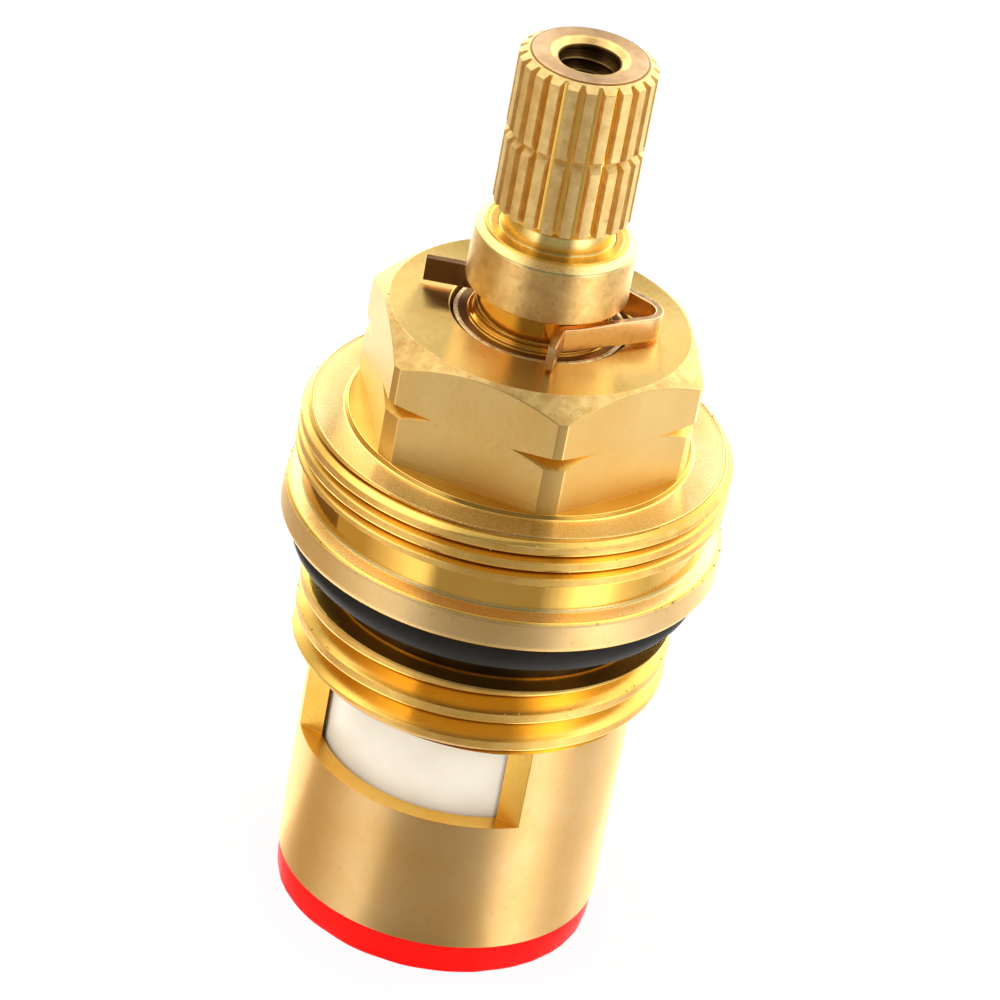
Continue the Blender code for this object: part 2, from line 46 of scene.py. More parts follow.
# Heights that several pieces share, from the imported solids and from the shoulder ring's lower face, which
# clears the O-ring by a hair
ringGap = 0.085 * mm
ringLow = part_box("body_o_ring")[1].z + ringGap
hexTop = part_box("housing")[1].z
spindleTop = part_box("spindle")[1].z
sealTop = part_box("bottom_seal")[1].z - 3.1 * mm
threadLow = ringLow - 8.45 * mm
threadHigh = ringLow - 3.75 * mm
flangeTop = ringLow + 6.8 * mm
hexBottom = flangeTop + 0.27 * mm
chamberRoof = ringLow - 1.85 * mm
chamberRadius = 8.05 * mm
boreRadius = 4.98 * mm
windowTurn = -9.0
mergeWithin = 0.0005 * mm


# Nodes


def newMaterial(name):
    material = bpy.data.materials.new(name)
    material.use_nodes = True
    tree = material.node_tree
    tree.nodes.clear()
    output = tree.nodes.new("ShaderNodeOutputMaterial")
    shader = tree.nodes.new("ShaderNodeBsdfPrincipled")
    tree.links.new(shader.outputs[0], output.inputs[0])
    return material, tree, shader


def fill(tree, made, inputs):
    for key, value in inputs.items():
        if isinstance(value, bpy.types.NodeSocket):
            tree.links.new(value, made.inputs[key])
        else:
            made.inputs[key].default_value = value


def node(tree, kind, inputs=None, **settings):
    made = tree.nodes.new(kind)
    for key, value in settings.items():
        setattr(made, key, value)
    fill(tree, made, inputs or {})
    return made


def bump(tree, height):
    return node(tree, "ShaderNodeBump", {"Strength": 1.0, "Distance": 1.0, "Height": height}).outputs[0]


# The surface shows this socket in place of its shader
def showInstead(tree, socket):
    output = next(n for n in tree.nodes if n.type == "OUTPUT_MATERIAL")
    tree.links.new(socket, output.inputs[0])


def math(tree, operation, a, b=0.0, clamp=False):
    return node(tree, "ShaderNodeMath", {0: a, 1: b}, operation=operation, use_clamp=clamp).outputs[0]


def mixColour(tree, factor, a, b, blend="MIX"):
    made = node(tree, "ShaderNodeMix", {0: factor, 6: a, 7: b}, data_type="RGBA", blend_type=blend)
    return made.outputs[2]


def noise(tree, vector, scale, detail=2.0, rough=0.5):
    inputs = {"Vector": vector, "Scale": scale, "Detail": detail, "Roughness": rough}
    return node(tree, "ShaderNodeTexNoise", inputs).outputs[0]


def ramp(tree, factor, low, high):
    inputs = {"Value": factor, "From Min": low, "From Max": high}
    return node(tree, "ShaderNodeMapRange", inputs, clamp=True).outputs[0]


def rgb(red, green, blue):
    # Screen colour, 0 to 255, to the linear colour a shader takes
    c = np.array([red, green, blue]) / 255
    linear = np.where(c <= 0.04045, c / 12.92, ((c + 0.055) / 1.055) ** 2.4)
    return (*linear.tolist(), 1.0)


# Turned brass: fine rings that follow height on a wall and radius on a face, with stains and pits. The
# tool's lines run round the axis, so the gloss is drawn out across them.
def brassMaterial(name, settings):
    material, tree, shader = newMaterial(name)
    place = node(tree, "ShaderNodeTexCoord").outputs["Object"]
    parts = node(tree, "ShaderNodeSeparateXYZ", {0: place})
    flat = node(tree, "ShaderNodeCombineXYZ", {0: parts.outputs[0], 1: parts.outputs[1]}).outputs[0]
    radius = node(tree, "ShaderNodeVectorMath", {0: flat}, operation="LENGTH").outputs["Value"]
    along = math(tree, "ADD", parts.outputs[2], math(tree, "MULTIPLY", radius, 1.27))
    line = node(tree, "ShaderNodeCombineXYZ", {0: along}).outputs[0]
    rings = noise(tree, line, settings["ringScale"], 4.0, 0.7)
    drift = noise(tree, place, settings["stainScale"], 3.0, 0.55)
    speck = noise(tree, place, settings["speckScale"], 2.0, 0.6)
    tone = mixColour(tree, ramp(tree, drift, 0.35, 0.65), settings["pale"], settings["deep"])
    tone = mixColour(tree, math(tree, "MULTIPLY", ramp(tree, speck, 0.62, 0.80), settings["specks"]),
                     tone, settings["dark"])
    lines = math(tree, "MULTIPLY", ramp(tree, rings, 0.60, 0.75), settings["ringStain"])
    tone = mixColour(tree, lines, tone, settings["dark"])
    rough = math(tree, "ADD", settings["rough"], math(tree, "MULTIPLY", speck, settings["roughSpread"]))
    height = math(tree, "ADD", math(tree, "MULTIPLY", rings, settings["ringDepth"]),
                  math(tree, "MULTIPLY", speck, settings["pitDepth"]))
    tangent = node(tree, "ShaderNodeTangent", direction_type="RADIAL", axis="Z").outputs[0]
    fill(tree, shader, {
        "Base Color": tone, "Metallic": 1.0, "Roughness": rough, "Normal": bump(tree, height),
        "Anisotropic": settings["grain"], "Anisotropic Rotation": 0.25, "Tangent": tangent,
    })
    return material


turned = {
    "pale": rgb(252, 204, 102), "deep": rgb(246, 190, 82), "dark": rgb(120, 80, 30),
    "ringScale": 9000.0, "stainScale": 220.0, "speckScale": 3500.0, "specks": 0.3, "ringStain": 0.2,
    "rough": 0.20, "roughSpread": 0.10, "ringDepth": 0.002 * mm, "pitDepth": 0.002 * mm, "grain": 0.95,
}
hollow = dict(turned, rough=0.14, roughSpread=0.06, specks=0.1, ringStain=0.1, pale=rgb(254, 210, 112),
              deep=rgb(250, 200, 92))
cast = dict(turned, rough=0.34, ringDepth=0.001 * mm, pitDepth=0.010 * mm, specks=0.4, speckScale=3600.0,
            stainScale=1500.0, ringStain=0.1, pale=rgb(250, 208, 134), deep=rgb(230, 186, 116),
            dark=rgb(124, 94, 48), grain=0.4)
brass = {
    "turned": turned,
    "plate": dict(turned, rough=0.22, pale=rgb(253, 226, 156), deep=rgb(249, 214, 136)),
    "top": dict(turned, rough=0.20, pale=rgb(253, 216, 130), deep=rgb(248, 202, 108)),
    "brushed": dict(turned, rough=0.42, ringScale=14000.0, ringDepth=0.0025 * mm, specks=0.15, ringStain=0.12,
                    pale=rgb(251, 209, 144), deep=rgb(246, 199, 124), grain=0.85),
    "polished": dict(turned, rough=0.07, roughSpread=0.04, ringDepth=0.0006 * mm, specks=0.05, ringStain=0.05,
                     pale=rgb(252, 202, 104), deep=rgb(248, 190, 84)),
    "hollow": hollow,
    # Darker brass for thread roots and the flank just beside them: painted shade in the roots
    "deep": dict(hollow, pale=rgb(204, 146, 54), deep=rgb(176, 118, 38)),
    "neck": dict(turned, rough=0.12, pale=rgb(254, 228, 150), deep=rgb(250, 218, 128)),
    "crest": dict(turned, rough=0.42, ringDepth=0.003 * mm, pitDepth=0.006 * mm, specks=0.35,
                  speckScale=5200.0, stainScale=900.0, pale=rgb(252, 208, 120), deep=rgb(240, 190, 98),
                  grain=0.5),
    "satin": dict(turned, rough=0.34, ringScale=2500.0, ringDepth=0.0012 * mm, pitDepth=0.004 * mm,
                  specks=0.12, ringStain=0.06, pale=rgb(251, 212, 138), deep=rgb(245, 201, 120), grain=0.7),
    "torn": dict(turned, rough=0.42, ringDepth=0.004 * mm, pitDepth=0.010 * mm, specks=0.5, speckScale=4200.0,
                 stainScale=1500.0, pale=rgb(248, 212, 136), deep=rgb(224, 180, 106), dark=rgb(112, 80, 30),
                 grain=0.5),
    "cast": cast,
    "land": dict(cast, rough=0.50, specks=0.3, pale=rgb(255, 224, 154), deep=rgb(240, 202, 130), grain=0.1),
    "face": dict(cast, rough=0.38, specks=0.2, stainScale=1100.0, pale=rgb(232, 194, 146),
                 deep=rgb(212, 172, 124), dark=rgb(150, 110, 70), grain=0.7),
    "burr": dict(cast, rough=0.45, specks=0.5, speckScale=6000.0, stainScale=5200.0, pitDepth=0.03 * mm,
                 pale=rgb(255, 240, 196), deep=rgb(216, 182, 118), dark=rgb(110, 80, 36), grain=0.0),
    "matte": dict(turned, rough=0.42, ringDepth=0.0015 * mm, specks=0.25, pale=rgb(253, 216, 154),
                  deep=rgb(246, 204, 132), ringStain=0.15, grain=0.7),
    # Dark brown brass for narrow bands at edges: painted shade along the spindle top's rim and the shoulder's
    # outer edge
    "edgeShade": dict(turned, rough=0.35, pale=rgb(150, 108, 60), deep=rgb(110, 76, 40), grain=0.3),
    # Dark brown brass that paints the shade in the groove under the O-ring and inside the spindle's hole and
    # its thread
    "paintedShade": dict(turned, rough=0.35, ringDepth=0.004 * mm, pale=rgb(112, 80, 40), deep=rgb(66, 48, 26),
                   dark=rgb(30, 20, 10), specks=0.5, ringStain=0.5),
}

finishes = {name: brassMaterial(name + "Brass", settings) for name, settings in brass.items()}
finishNames = list(finishes)
print("finishes made")


# Surfaces


# The four corners of every cell of a grid of points. With a slip, the last column meets the first
# that many rows further on, as the turns of a thread do.
def gridFaces(rows, columns, wrapRows=False, slip=0):
    row, column = np.meshgrid(
        np.arange(rows if wrapRows else rows - 1), np.arange(columns), indexing="ij"
    )
    nextColumn = (column + 1) % columns
    jump = np.where(nextColumn == 0, slip, 0)
    faces = np.stack(
        [
            (row % rows) * columns + column,
            ((row + jump) % rows) * columns + nextColumn,
            ((row + jump + 1) % rows) * columns + nextColumn,
            ((row + 1) % rows) * columns + column,
        ],
        -1,
    )
    inside = np.ones_like(row, bool) if wrapRows else row + jump + 1 < rows
    return faces[inside], inside


# The same for a grid whose last column doesn't meet the first
def openFaces(rows, columns, wrapRows=False):
    faces, inside = gridFaces(rows, columns, wrapRows)
    return faces[np.broadcast_to(np.arange(columns) < columns - 1, inside.shape)[inside]]


def newObject(name, mesh):
    made = bpy.data.objects.new(name, mesh)
    bpy.context.scene.collection.objects.link(made)
    return made


def newMesh(name, points, faces):
    mesh = bpy.data.meshes.new(name)
    mesh.from_pydata(points.reshape(-1, 3).tolist(), [], faces)
    return mesh


# Gives the mesh its materials and puts the piece on its body, in place of the solids it stands for
def showPiece(name, mesh, body, materials, nodes, sharp):
    for material in materials:
        mesh.materials.append(material)
    mesh.shade_smooth()
    mesh.set_sharp_from_angle(angle=np.radians(sharp))
    piece = newObject(name, mesh)
    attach(piece, body)
    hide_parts(*nodes)
    print(name, len(mesh.polygons), "faces")
    return piece


# Builds the mesh, merges what coincides, turns the faces outward and shows the piece
def addPiece(name, points, faces, body, materials, slotName, nodes, marks=None, sharp=40.0):
    mesh = newMesh(name, points, faces)
    if marks is not None:
        mesh.polygons.foreach_set("material_index", marks.astype(np.int32))
    shape = bmesh.new()
    shape.from_mesh(mesh)
    bmesh.ops.remove_doubles(shape, verts=shape.verts, dist=mergeWithin)
    bmesh.ops.recalc_face_normals(shape, faces=shape.faces)
    shape.to_mesh(mesh)
    shape.free()
    return showPiece(name, mesh, body, materials, nodes, sharp)


onHousing = {"slotName": "body_brass", "nodes": ["housing"]}
onSpindle = {"slotName": "body_brass", "nodes": ["spindle"]}


# Each corner (radius, height, cut, finish) becomes a parabola that leaves the straight stretches a cut's
# length away, with one more row on each side that keeps those stretches flat. Radius and height may
# differ from column to column. The finish is that of the stretch after the corner. The cut and the rows
# beside it take at most these shares of a stretch.
reachShare, guardShare, guardReach = 0.4, 0.45, 1.5


def softOutline(corners, columns, steps=4):
    here = np.array([[np.broadcast_to(c[0], columns), np.broadcast_to(c[1], columns)] for c in corners])
    here = here.transpose(0, 2, 1)
    cut = np.array([c[2] for c in corners])[:, None]
    before = np.roll(here, 1, 0) - here
    after = np.roll(here, -1, 0) - here
    rows = []
    for side in (before, after):
        length = np.linalg.norm(side, axis=2)
        reach = np.minimum(cut, reachShare * length)
        guard = np.minimum(guardReach * reach, guardShare * length)
        unit = side / np.maximum(length, 1e-12)[..., None]
        rows.append((here + unit * guard[..., None], here + unit * reach[..., None]))
    (guardIn, start), (guardOut, end) = rows
    outline = [guardIn]
    for t in np.linspace(0, 1, steps):
        outline.append((1 - t) ** 2 * start + 2 * t * (1 - t) * here + t**2 * end)
    outline.append(guardOut)
    outline = np.stack(outline, 1).reshape(-1, columns, 2)
    finish = np.repeat([finishNames.index(c[3]) for c in corners], steps + 2)
    return outline, finish


# A point at radius r and angle a from the front is (r sin a, -r cos a, z)
def revolve(outline, angles):
    radius, height = outline[..., 0], outline[..., 1]
    return np.stack([radius * np.sin(angles), -radius * np.cos(angles), height], -1)


def turnedPiece(name, corners, angles, body, wrap=True, steps=4, mark=None, **rest):
    outline, finish = softOutline(corners, len(angles), steps)
    faces, inside = gridFaces(len(outline), len(angles), wrapRows=wrap)
    rowFinish = np.broadcast_to(finish[:, None], outline.shape[:2])[: inside.shape[0]]
    if mark is not None:
        rowFinish = mark(rowFinish.copy(), outline[: inside.shape[0]], angles)
    return addPiece(name, revolve(outline, angles), faces.tolist(), body, list(finishes.values()),
                    marks=rowFinish[inside], **rest)


# A right-handed helical thread. Row by row the height falls by one share of the pitch, and along each row
# it rises by a whole pitch per turn, so the crest follows the grid. Past either end the rows gather on the
# end's height. The profile is a flat crest, a straight flank above it, and below it a small bevel and the
# other flank. The end face runs inward over its own corners, and a wall closes the back.
def threadPiece(name, settings, body, **rest):
    turns = (settings["top"] - settings["bottom"]) / settings["pitch"] + 2
    perTurn = settings["rowsPerTurn"]
    columns = settings["columns"]
    step = np.arange(int(np.ceil(turns * perTurn)) + 1)[:, None] / perTurn
    angles = np.linspace(0, 2 * np.pi, columns, endpoint=False)
    sweep = step + angles[None, :] / (2 * np.pi)
    free = settings["top"] + settings["pitch"] * (1 - sweep)
    height = np.clip(free, settings["bottom"], settings["top"])
    share = (step + (free - height) / settings["pitch"] + settings["phase"]) % 1.0 - 0.5
    crestHalf, rootHalf = settings["crestShare"] / 2, settings["rootShare"] / 2
    edge = crestHalf + settings["bevelShare"]
    rise = np.interp(share, [-0.5, rootHalf - 0.5, -crestHalf, crestHalf, edge, 0.5 - rootHalf, 0.5],
                     [0, 0, 1, 1, 1 - settings["bevelDrop"], 0, 0])
    radius = settings["root"] + (settings["crest"] - settings["root"]) * rise
    side = np.sign(settings["crest"] - settings["root"])
    for end, lead in (("top", settings["topLead"]), ("bottom", settings["bottomLead"])):
        away = np.abs(height - settings[end])
        limit = lead["radius"] + side * away * lead["slope"]
        radius = np.minimum(radius * side, limit * side) * side
    outline = np.stack([radius, height], -1)
    corners = [(r, settings["top"] + z) for r, z in settings["topFace"]]
    under = settings["top"] - 0.1 * mm
    corners += [(corners[-1][0], under), (settings["back"], under), (settings["back"], settings["bottom"])]
    back = [np.broadcast_to(np.array(corner), (1, columns, 2)) for corner in corners]
    faces, inside = gridFaces(len(outline), columns, slip=perTurn)
    wall = np.concatenate([outline[:1], *back, outline[-1:]])
    wallFaces, _ = gridFaces(len(wall), columns)
    points = np.concatenate([revolve(outline, -angles), revolve(wall, -angles)])
    allFaces = np.concatenate([faces, wallFaces + outline.shape[0] * columns]).tolist()
    # Crest, bevel, hollow and root each have their finish. The root's finish, reaching a little up the flank,
    # is darker: painted shade
    middle = share[:-1] + 0.5 / perTurn
    names = settings["finish"]
    marks = np.full(middle.shape, finishNames.index(names["hollow"]))
    marks[np.abs(middle) > 0.5 - settings["rootReach"]] = finishNames.index(names["root"])
    marks[np.abs(middle) < crestHalf] = finishNames.index(names["crest"])
    marks[(middle >= crestHalf) & (middle < edge)] = finishNames.index(names["bevel"])
    wallMarks = np.full(len(wallFaces), finishNames.index(names["face"]))
    return addPiece(name, points, allFaces, body, list(finishes.values()),
                    marks=np.concatenate([marks[inside], wallMarks]), **rest)


def degreesAround(step, extra=()):
    degrees = np.concatenate([np.arange(0, 360, step), np.array(extra)]) % 360
    return np.radians(np.unique(np.round(degrees, 4)))


# The turned body: hexagon, flange, undercut, shoulder ring and O-ring groove

hexagon = {
    "apothem": 8.5 * mm, "corner": 9.67 * mm, "lowCorner": 9.5 * mm, "crown": 8.3 * mm,
    "crownSlope": np.tan(np.radians(38)), "notchTop": 3.23 * mm, "notchFloor": 3.42 * mm,
    "notchBottom": 4.03 * mm, "notch": 8.8 * mm, "notchDepth": 0.76 * mm, "edge": 0.04 * mm,
    "line": 0.46 * mm, "lineStep": 0.03 * mm, "ledge": 9.57 * mm,
}
body = {
    "boreLead": 0.06 * mm, "flange": 11.2 * mm, "undercut": 11.3 * mm, "undercutTop": 3.9 * mm,
    "ledge": 12.02 * mm, "ledgeFoot": 2.05 * mm, "ledgeHeight": 1.80 * mm, "ring": 12.26 * mm,
    "groove": 9.2 * mm, "hidden": 9.0 * mm, "step": 1.0,
}


def makeBody():
    extra = []
    for corner in (hexagon["corner"], hexagon["lowCorner"]):
        crease = np.degrees(np.arccos(hexagon["apothem"] / corner))
        extra += [60 * k + s * (crease + d) for k in range(6) for s in (-1, 1) for d in (-0.3, 0, 0.3)]
    angles = degreesAround(body["step"], extra)
    deviation = np.abs((np.degrees(angles) + 30) % 60 - 30)
    across = np.minimum(hexagon["apothem"] / np.cos(np.radians(deviation)), hexagon["corner"])
    below = np.minimum(across, hexagon["lowCorner"])
    crown = hexTop - (across - hexagon["crown"]) * hexagon["crownSlope"]
    notchMid = hexTop - hexagon["notchFloor"]
    bite = np.maximum(across - hexagon["notch"], 0) / hexagon["notchDepth"]
    notchHigh = notchMid + bite * (hexagon["notchFloor"] - hexagon["notchTop"])
    bite = np.maximum(below - hexagon["notch"], 0) / hexagon["notchDepth"]
    notchLow = notchMid - bite * (hexagon["notchBottom"] - hexagon["notchFloor"])
    line = hexBottom + hexagon["line"]
    soft = hexagon["edge"]
    corners = [
        (boreRadius, chamberRoof, 0.05 * mm, "turned"),
        (boreRadius, hexTop - body["boreLead"], soft, "turned"),
        (boreRadius + body["boreLead"], hexTop, 0.02 * mm, "top"),
        (hexagon["crown"], hexTop, 0.02 * mm, "torn"),
        (across, crown, soft, "satin"),
        (across, notchHigh, 0.02 * mm, "turned"),
        (np.minimum(across, hexagon["notch"]), notchMid, 0.02 * mm, "turned"),
        (below, notchLow, 0.02 * mm, "satin"),
        (below, line, 0.01 * mm, "satin"),
        (below - hexagon["lineStep"], line - hexagon["lineStep"], 0.01 * mm, "satin"),
        (below - hexagon["lineStep"], hexBottom + 0.01 * mm, 0.02 * mm, "turned"),
        (hexagon["ledge"], hexBottom, 0.07 * mm, "polished"),
        (hexagon["ledge"] + 0.06 * mm, flangeTop + 0.05 * mm, 0.06 * mm, "polished"),
        (hexagon["ledge"] + 0.20 * mm, flangeTop - 0.01 * mm, 0.06 * mm, "plate"),
        (body["flange"], flangeTop - 0.01 * mm, soft, "turned"),
        (body["flange"], ringLow + body["undercutTop"] + 0.5 * mm, soft, "polished"),
        (body["undercut"], ringLow + body["undercutTop"] + 0.4 * mm, soft, "polished"),
        (body["undercut"], ringLow + body["ledgeFoot"], 0.12 * mm, "plate"),
        (body["ledge"], ringLow + body["ledgeHeight"], 0.06 * mm, "hollow"),
        (body["ring"] - 0.05 * mm, ringLow + body["ledgeHeight"] - 0.16 * mm, 0.06 * mm, "matte"),
        (body["ring"], ringLow + 0.3 * mm, 0.1 * mm, "matte"),
        (body["ring"] - 0.15 * mm, ringLow, 0.08 * mm, "turned"),
        # The groove under the O-ring is painted dark: painted shade
        (body["groove"], ringLow, 0.1 * mm, "paintedShade"),
        (body["groove"], threadHigh, 0.05 * mm, "turned"),
        (body["hidden"], threadHigh - 0.1 * mm, 0.02 * mm, "turned"),
        (body["hidden"], threadLow, 0.02 * mm, "turned"),
        (chamberRadius, threadLow, 0.02 * mm, "turned"),
        (chamberRadius, chamberRoof, 0.1 * mm, "turned"),
    ]
    turnedPiece("turned_body", corners, angles, "body", sharp=30.0, **onHousing)


makeBody()
print("body turned")

# Threads

upperThread = {
    "top": flangeTop, "bottom": ringLow + 3.9 * mm, "pitch": 1.0 * mm, "crest": 11.97 * mm,
    "root": 11.45 * mm, "back": 11.1 * mm, "columns": 360, "rowsPerTurn": 40,
    "phase": 0.92, "crestShare": 0.38, "rootShare": 0.04, "bevelShare": 0.12, "bevelDrop": 0.075,
    "finish": {"crest": "crest", "bevel": "polished", "hollow": "hollow", "root": "deep", "face": "plate"},
    "rootReach": 0.11,
    "topFace": [(11.49 * mm, -0.08 * mm), (11.44 * mm, -0.08 * mm), (11.42 * mm, 0.01 * mm),
                (11.34 * mm, 0.03 * mm), (11.24 * mm, 0.0), (9.72 * mm, 0.0)],
    "topLead": {"radius": 11.50 * mm, "slope": 1.2}, "bottomLead": {"radius": 11.31 * mm, "slope": 4.0},
}
lowerThread = {
    "top": threadHigh, "bottom": threadLow, "pitch": 1.814 * mm, "crest": 10.4775 * mm,
    "root": 9.42 * mm, "back": 8.9 * mm, "columns": 360, "rowsPerTurn": 48,
    "phase": 0.44, "crestShare": 0.25, "rootShare": 0.05, "bevelShare": 0.08, "bevelDrop": 0.05,
    "finish": {"crest": "crest", "bevel": "polished", "hollow": "hollow", "root": "deep", "face": "turned"},
    "rootReach": 0.075,
    "topFace": [(8.9 * mm, 0.0)],
    "topLead": {"radius": 10.4 * mm, "slope": 1.0}, "bottomLead": {"radius": 9.67 * mm, "slope": 0.95},
}
threadPiece("fine_thread", upperThread, "body", **onHousing)
threadPiece("coarse_thread", lowerThread, "body", **onHousing)

# Burrs and swarf that the tools left on sharp edges: tiny eight-sided flakes, each a long, a broad and a
# thin half axis about its middle, turned at random. An edge is given in mm, by its radius, its height over
# the shoulder ring's lower face towards the camera, and its rise per turn. Where a thread runs out, its
# flakes lie on the lead at its end.
swarf = {
    "seed": 7, "long": (0.04, 0.12), "broad": (0.03, 0.06), "thin": (0.012, 0.03),
    "sink": 0.02, "lift": 0.01, "stray": 0.03, "from": 16.0,
    "edges": [
        {"count": 60, "radius": 11.96, "height": 6.05, "rise": 1.0, "on": upperThread},
        {"count": 60, "radius": 11.96, "height": 6.43, "rise": 1.0, "on": upperThread},
        {"count": 45, "radius": 11.96, "height": 5.05, "rise": 1.0, "on": upperThread},
        {"count": 35, "radius": 11.96, "height": 4.05, "rise": 1.0, "on": upperThread},
        {"count": 45, "radius": 12.17, "height": 1.74, "rise": 0.0},
        {"count": 25, "radius": 10.46, "height": -5.73, "rise": 1.814, "on": lowerThread},
        {"count": 25, "radius": 10.46, "height": -5.27, "rise": 1.814, "on": lowerThread},
        {"count": 40, "radius": 8.34, "height": 13.76, "rise": 0.0},
    ],
}


def ontoLead(thread, radius, height):
    high, low = [(thread[end] - ringLow) / mm for end in ("top", "bottom")]
    height = np.clip(height, low, high)
    for end, lead in ((high, thread["topLead"]), (low, thread["bottomLead"])):
        radius = np.minimum(radius, lead["radius"] / mm + np.abs(height - end) * lead["slope"])
    return radius, height


def makeSwarf():
    chance = np.random.default_rng(swarf["seed"])
    middles = []
    for edge in swarf["edges"]:
        turn = chance.uniform(-180, 180, edge["count"])
        radius = edge["radius"] - swarf["sink"] + chance.normal(0, swarf["lift"], edge["count"])
        climb = edge["rise"] * (turn - swarf["from"]) / 360
        height = edge["height"] + climb + chance.normal(0, swarf["stray"], edge["count"])
        if "on" in edge:
            radius, height = ontoLead(edge["on"], radius, height)
        a = np.radians(turn)
        middles.append(np.stack([radius * np.sin(a), -radius * np.cos(a), height], -1))
    middles = np.concatenate(middles) * mm + np.array([0, 0, ringLow])
    count = len(middles)
    sizes = np.stack([chance.uniform(*swarf[side], count) for side in ("long", "broad", "thin")], -1) * mm
    axes = np.linalg.qr(chance.normal(size=(count, 3, 3)))[0]
    corner = np.concatenate([np.eye(3), -np.eye(3)])
    points = middles[:, None] + np.einsum("kc,nc,ncx->nkx", corner, sizes, axes)
    sides = np.array([[0, 1, 2], [1, 3, 2], [3, 4, 2], [4, 0, 2], [1, 0, 5], [3, 1, 5], [4, 3, 5], [0, 4, 5]])
    faces = (np.arange(count)[:, None, None] * 6 + sides).reshape(-1, 3).tolist()
    addPiece("swarf", points, faces, "body", [finishes["burr"]], sharp=20.0, **onHousing)


makeSwarf()

# The sleeve: a ring with its windows and keyways cut, and the edges broken

sleeve = {
    "radius": 9.16 * mm, "chord": 5.64 * mm, "sill": 10.15 * mm, "lintel": 15.25 * mm,
    "keyway": 3.0 * mm, "keywayReach": 8.65 * mm, "keywayHigh": 9.5 * mm, "edge": 0.06 * mm,
    "windowCut": 4 * mm, "keywayCut": 2 * mm,
}


# A closed box from its middle, half sizes and turn about the axis
def boxPoints(middle, half, turn):
    corner = np.array([[x, y, z] for z in (-1, 1) for y in (-1, 1) for x in (-1, 1)]) * half + middle
    a = np.radians(turn)
    spin = np.array([[np.cos(a), np.sin(a), 0], [-np.sin(a), np.cos(a), 0], [0, 0, 1]])
    return corner @ spin


boxFaces = np.array([[0, 2, 3, 1], [4, 5, 7, 6], [0, 1, 5, 4], [2, 6, 7, 3], [0, 4, 6, 2], [1, 3, 7, 5]])


def cutWith(piece, cutters):
    faces = np.concatenate([boxFaces + 8 * k for k in range(len(cutters))])
    cutter = newObject("cutter", newMesh("cutter", np.concatenate(cutters), faces.tolist()))
    boolean = piece.modifiers.new("cut", "BOOLEAN")
    boolean.operation = "DIFFERENCE"
    boolean.object = cutter
    bpy.context.view_layer.update()
    evaluated = piece.evaluated_get(bpy.context.evaluated_depsgraph_get())
    result = bpy.data.meshes.new_from_object(evaluated)
    piece.modifiers.clear()
    piece.data = result
    bpy.data.objects.remove(cutter)


def breakEdges(piece, width):
    bevel = piece.modifiers.new("edges", "BEVEL")
    bevel.width = width
    bevel.segments = 2
    bevel.limit_method = "ANGLE"
    bevel.angle_limit = np.radians(40)
    bevel.harden_normals = True


def makeSleeve():
    angles = degreesAround(1.5)
    top, low = threadLow, sealTop + 0.03 * mm
    corners = [
        (sleeve["radius"], top, 0, "brushed"),
        (sleeve["radius"], low, 0, "turned"),
        (chamberRadius, low, 0, "turned"),
        (chamberRadius, top, 0, "turned"),
    ]
    piece = turnedPiece("sleeve", corners, angles, "body", steps=2, **onHousing)
    middle = [0, -sleeve["chord"] - sleeve["windowCut"], (sleeve["lintel"] + sleeve["sill"]) / 2]
    half = [2 * sleeve["radius"], sleeve["windowCut"], (sleeve["lintel"] - sleeve["sill"]) / 2]
    keyMiddle = [0, sleeve["keywayCut"] - sleeve["keywayReach"], 0]
    keyHalf = [sleeve["keyway"] / 2, sleeve["keywayCut"], sleeve["keywayHigh"]]
    cutters = []
    for side in (0, 180):
        cutters.append(boxPoints(middle, half, windowTurn + side))
        cutters.append(boxPoints(keyMiddle, keyHalf, windowTurn + 90 + side))
    cutWith(piece, cutters)
    piece.data.shade_smooth()
    piece.data.set_sharp_from_angle(angle=np.radians(30))
    breakEdges(piece, sleeve["edge"])


makeSleeve()
print("sleeve cut")


# The rest of the chamber: two stop lugs, each a ring sector

stopLug = {
    "inner": 6.3 * mm, "outer": 8.3 * mm, "bottom": 17.05 * mm, "top": chamberRoof + 0.2 * mm,
    "width": 30.0, "middle": -54.0, "steps": 13, "edge": 0.1 * mm,
}


def makeStopLug(name, turn):
    s = stopLug
    half, middle, steps = s["width"] / 2, s["middle"] + turn, s["steps"]
    angles = np.radians(np.linspace(middle - half, middle + half, steps))
    loop = np.array([[s["inner"], s["bottom"]], [s["outer"], s["bottom"]],
                     [s["outer"], s["top"]], [s["inner"], s["top"]]])
    points = revolve(np.broadcast_to(loop[:, None], (4, steps, 2)), angles)
    first = np.arange(4) * steps
    ends = np.stack([first, np.roll(first[::-1], 1) + steps - 1])
    faces = np.concatenate([openFaces(4, steps, wrapRows=True), ends]).tolist()
    piece = addPiece(name, points, faces, "body", [finishes["turned"]], **onHousing)
    breakEdges(piece, s["edge"])


for name, turn in (("stop_lug_a", 0), ("stop_lug_b", 180)):
    makeStopLug(name, turn)

# The spindle's head: shoulder, clip groove, collar, neck, splines and the countersunk hole

spindleHead = {
    "shaft": 4.77 * mm, "split": 36.6 * mm, "shoulder": 37.6 * mm, "step": 3.98 * mm,
    "grooveRadius": 3.72 * mm, "collarLow": 39.83 * mm, "collarHigh": 42.93 * mm, "collar": 4.47 * mm,
    "neck": 3.05 * mm, "splineLow": 44.66 * mm, "teeth": 23, "turn": 23.0, "crest": 3.78 * mm,
    "root": 3.38 * mm, "crestWidth": 0.56 * mm, "rootWidth": 0.20 * mm,
    "notch": 49.0 * mm, "notchHalf": 0.32 * mm, "notchDepth": 0.36 * mm, "rim": 3.16 * mm,
    "chamfer": 0.4 * mm, "hole": 2.03 * mm, "mouth": 1.66 * mm, "sink": 2.12 * mm, "holeDepth": 12.0 * mm,
    "collarSteps": [(3.95 * mm, 0.25 * mm), (3.88 * mm, 0.32 * mm), (3.72 * mm, 0.34 * mm)],
}


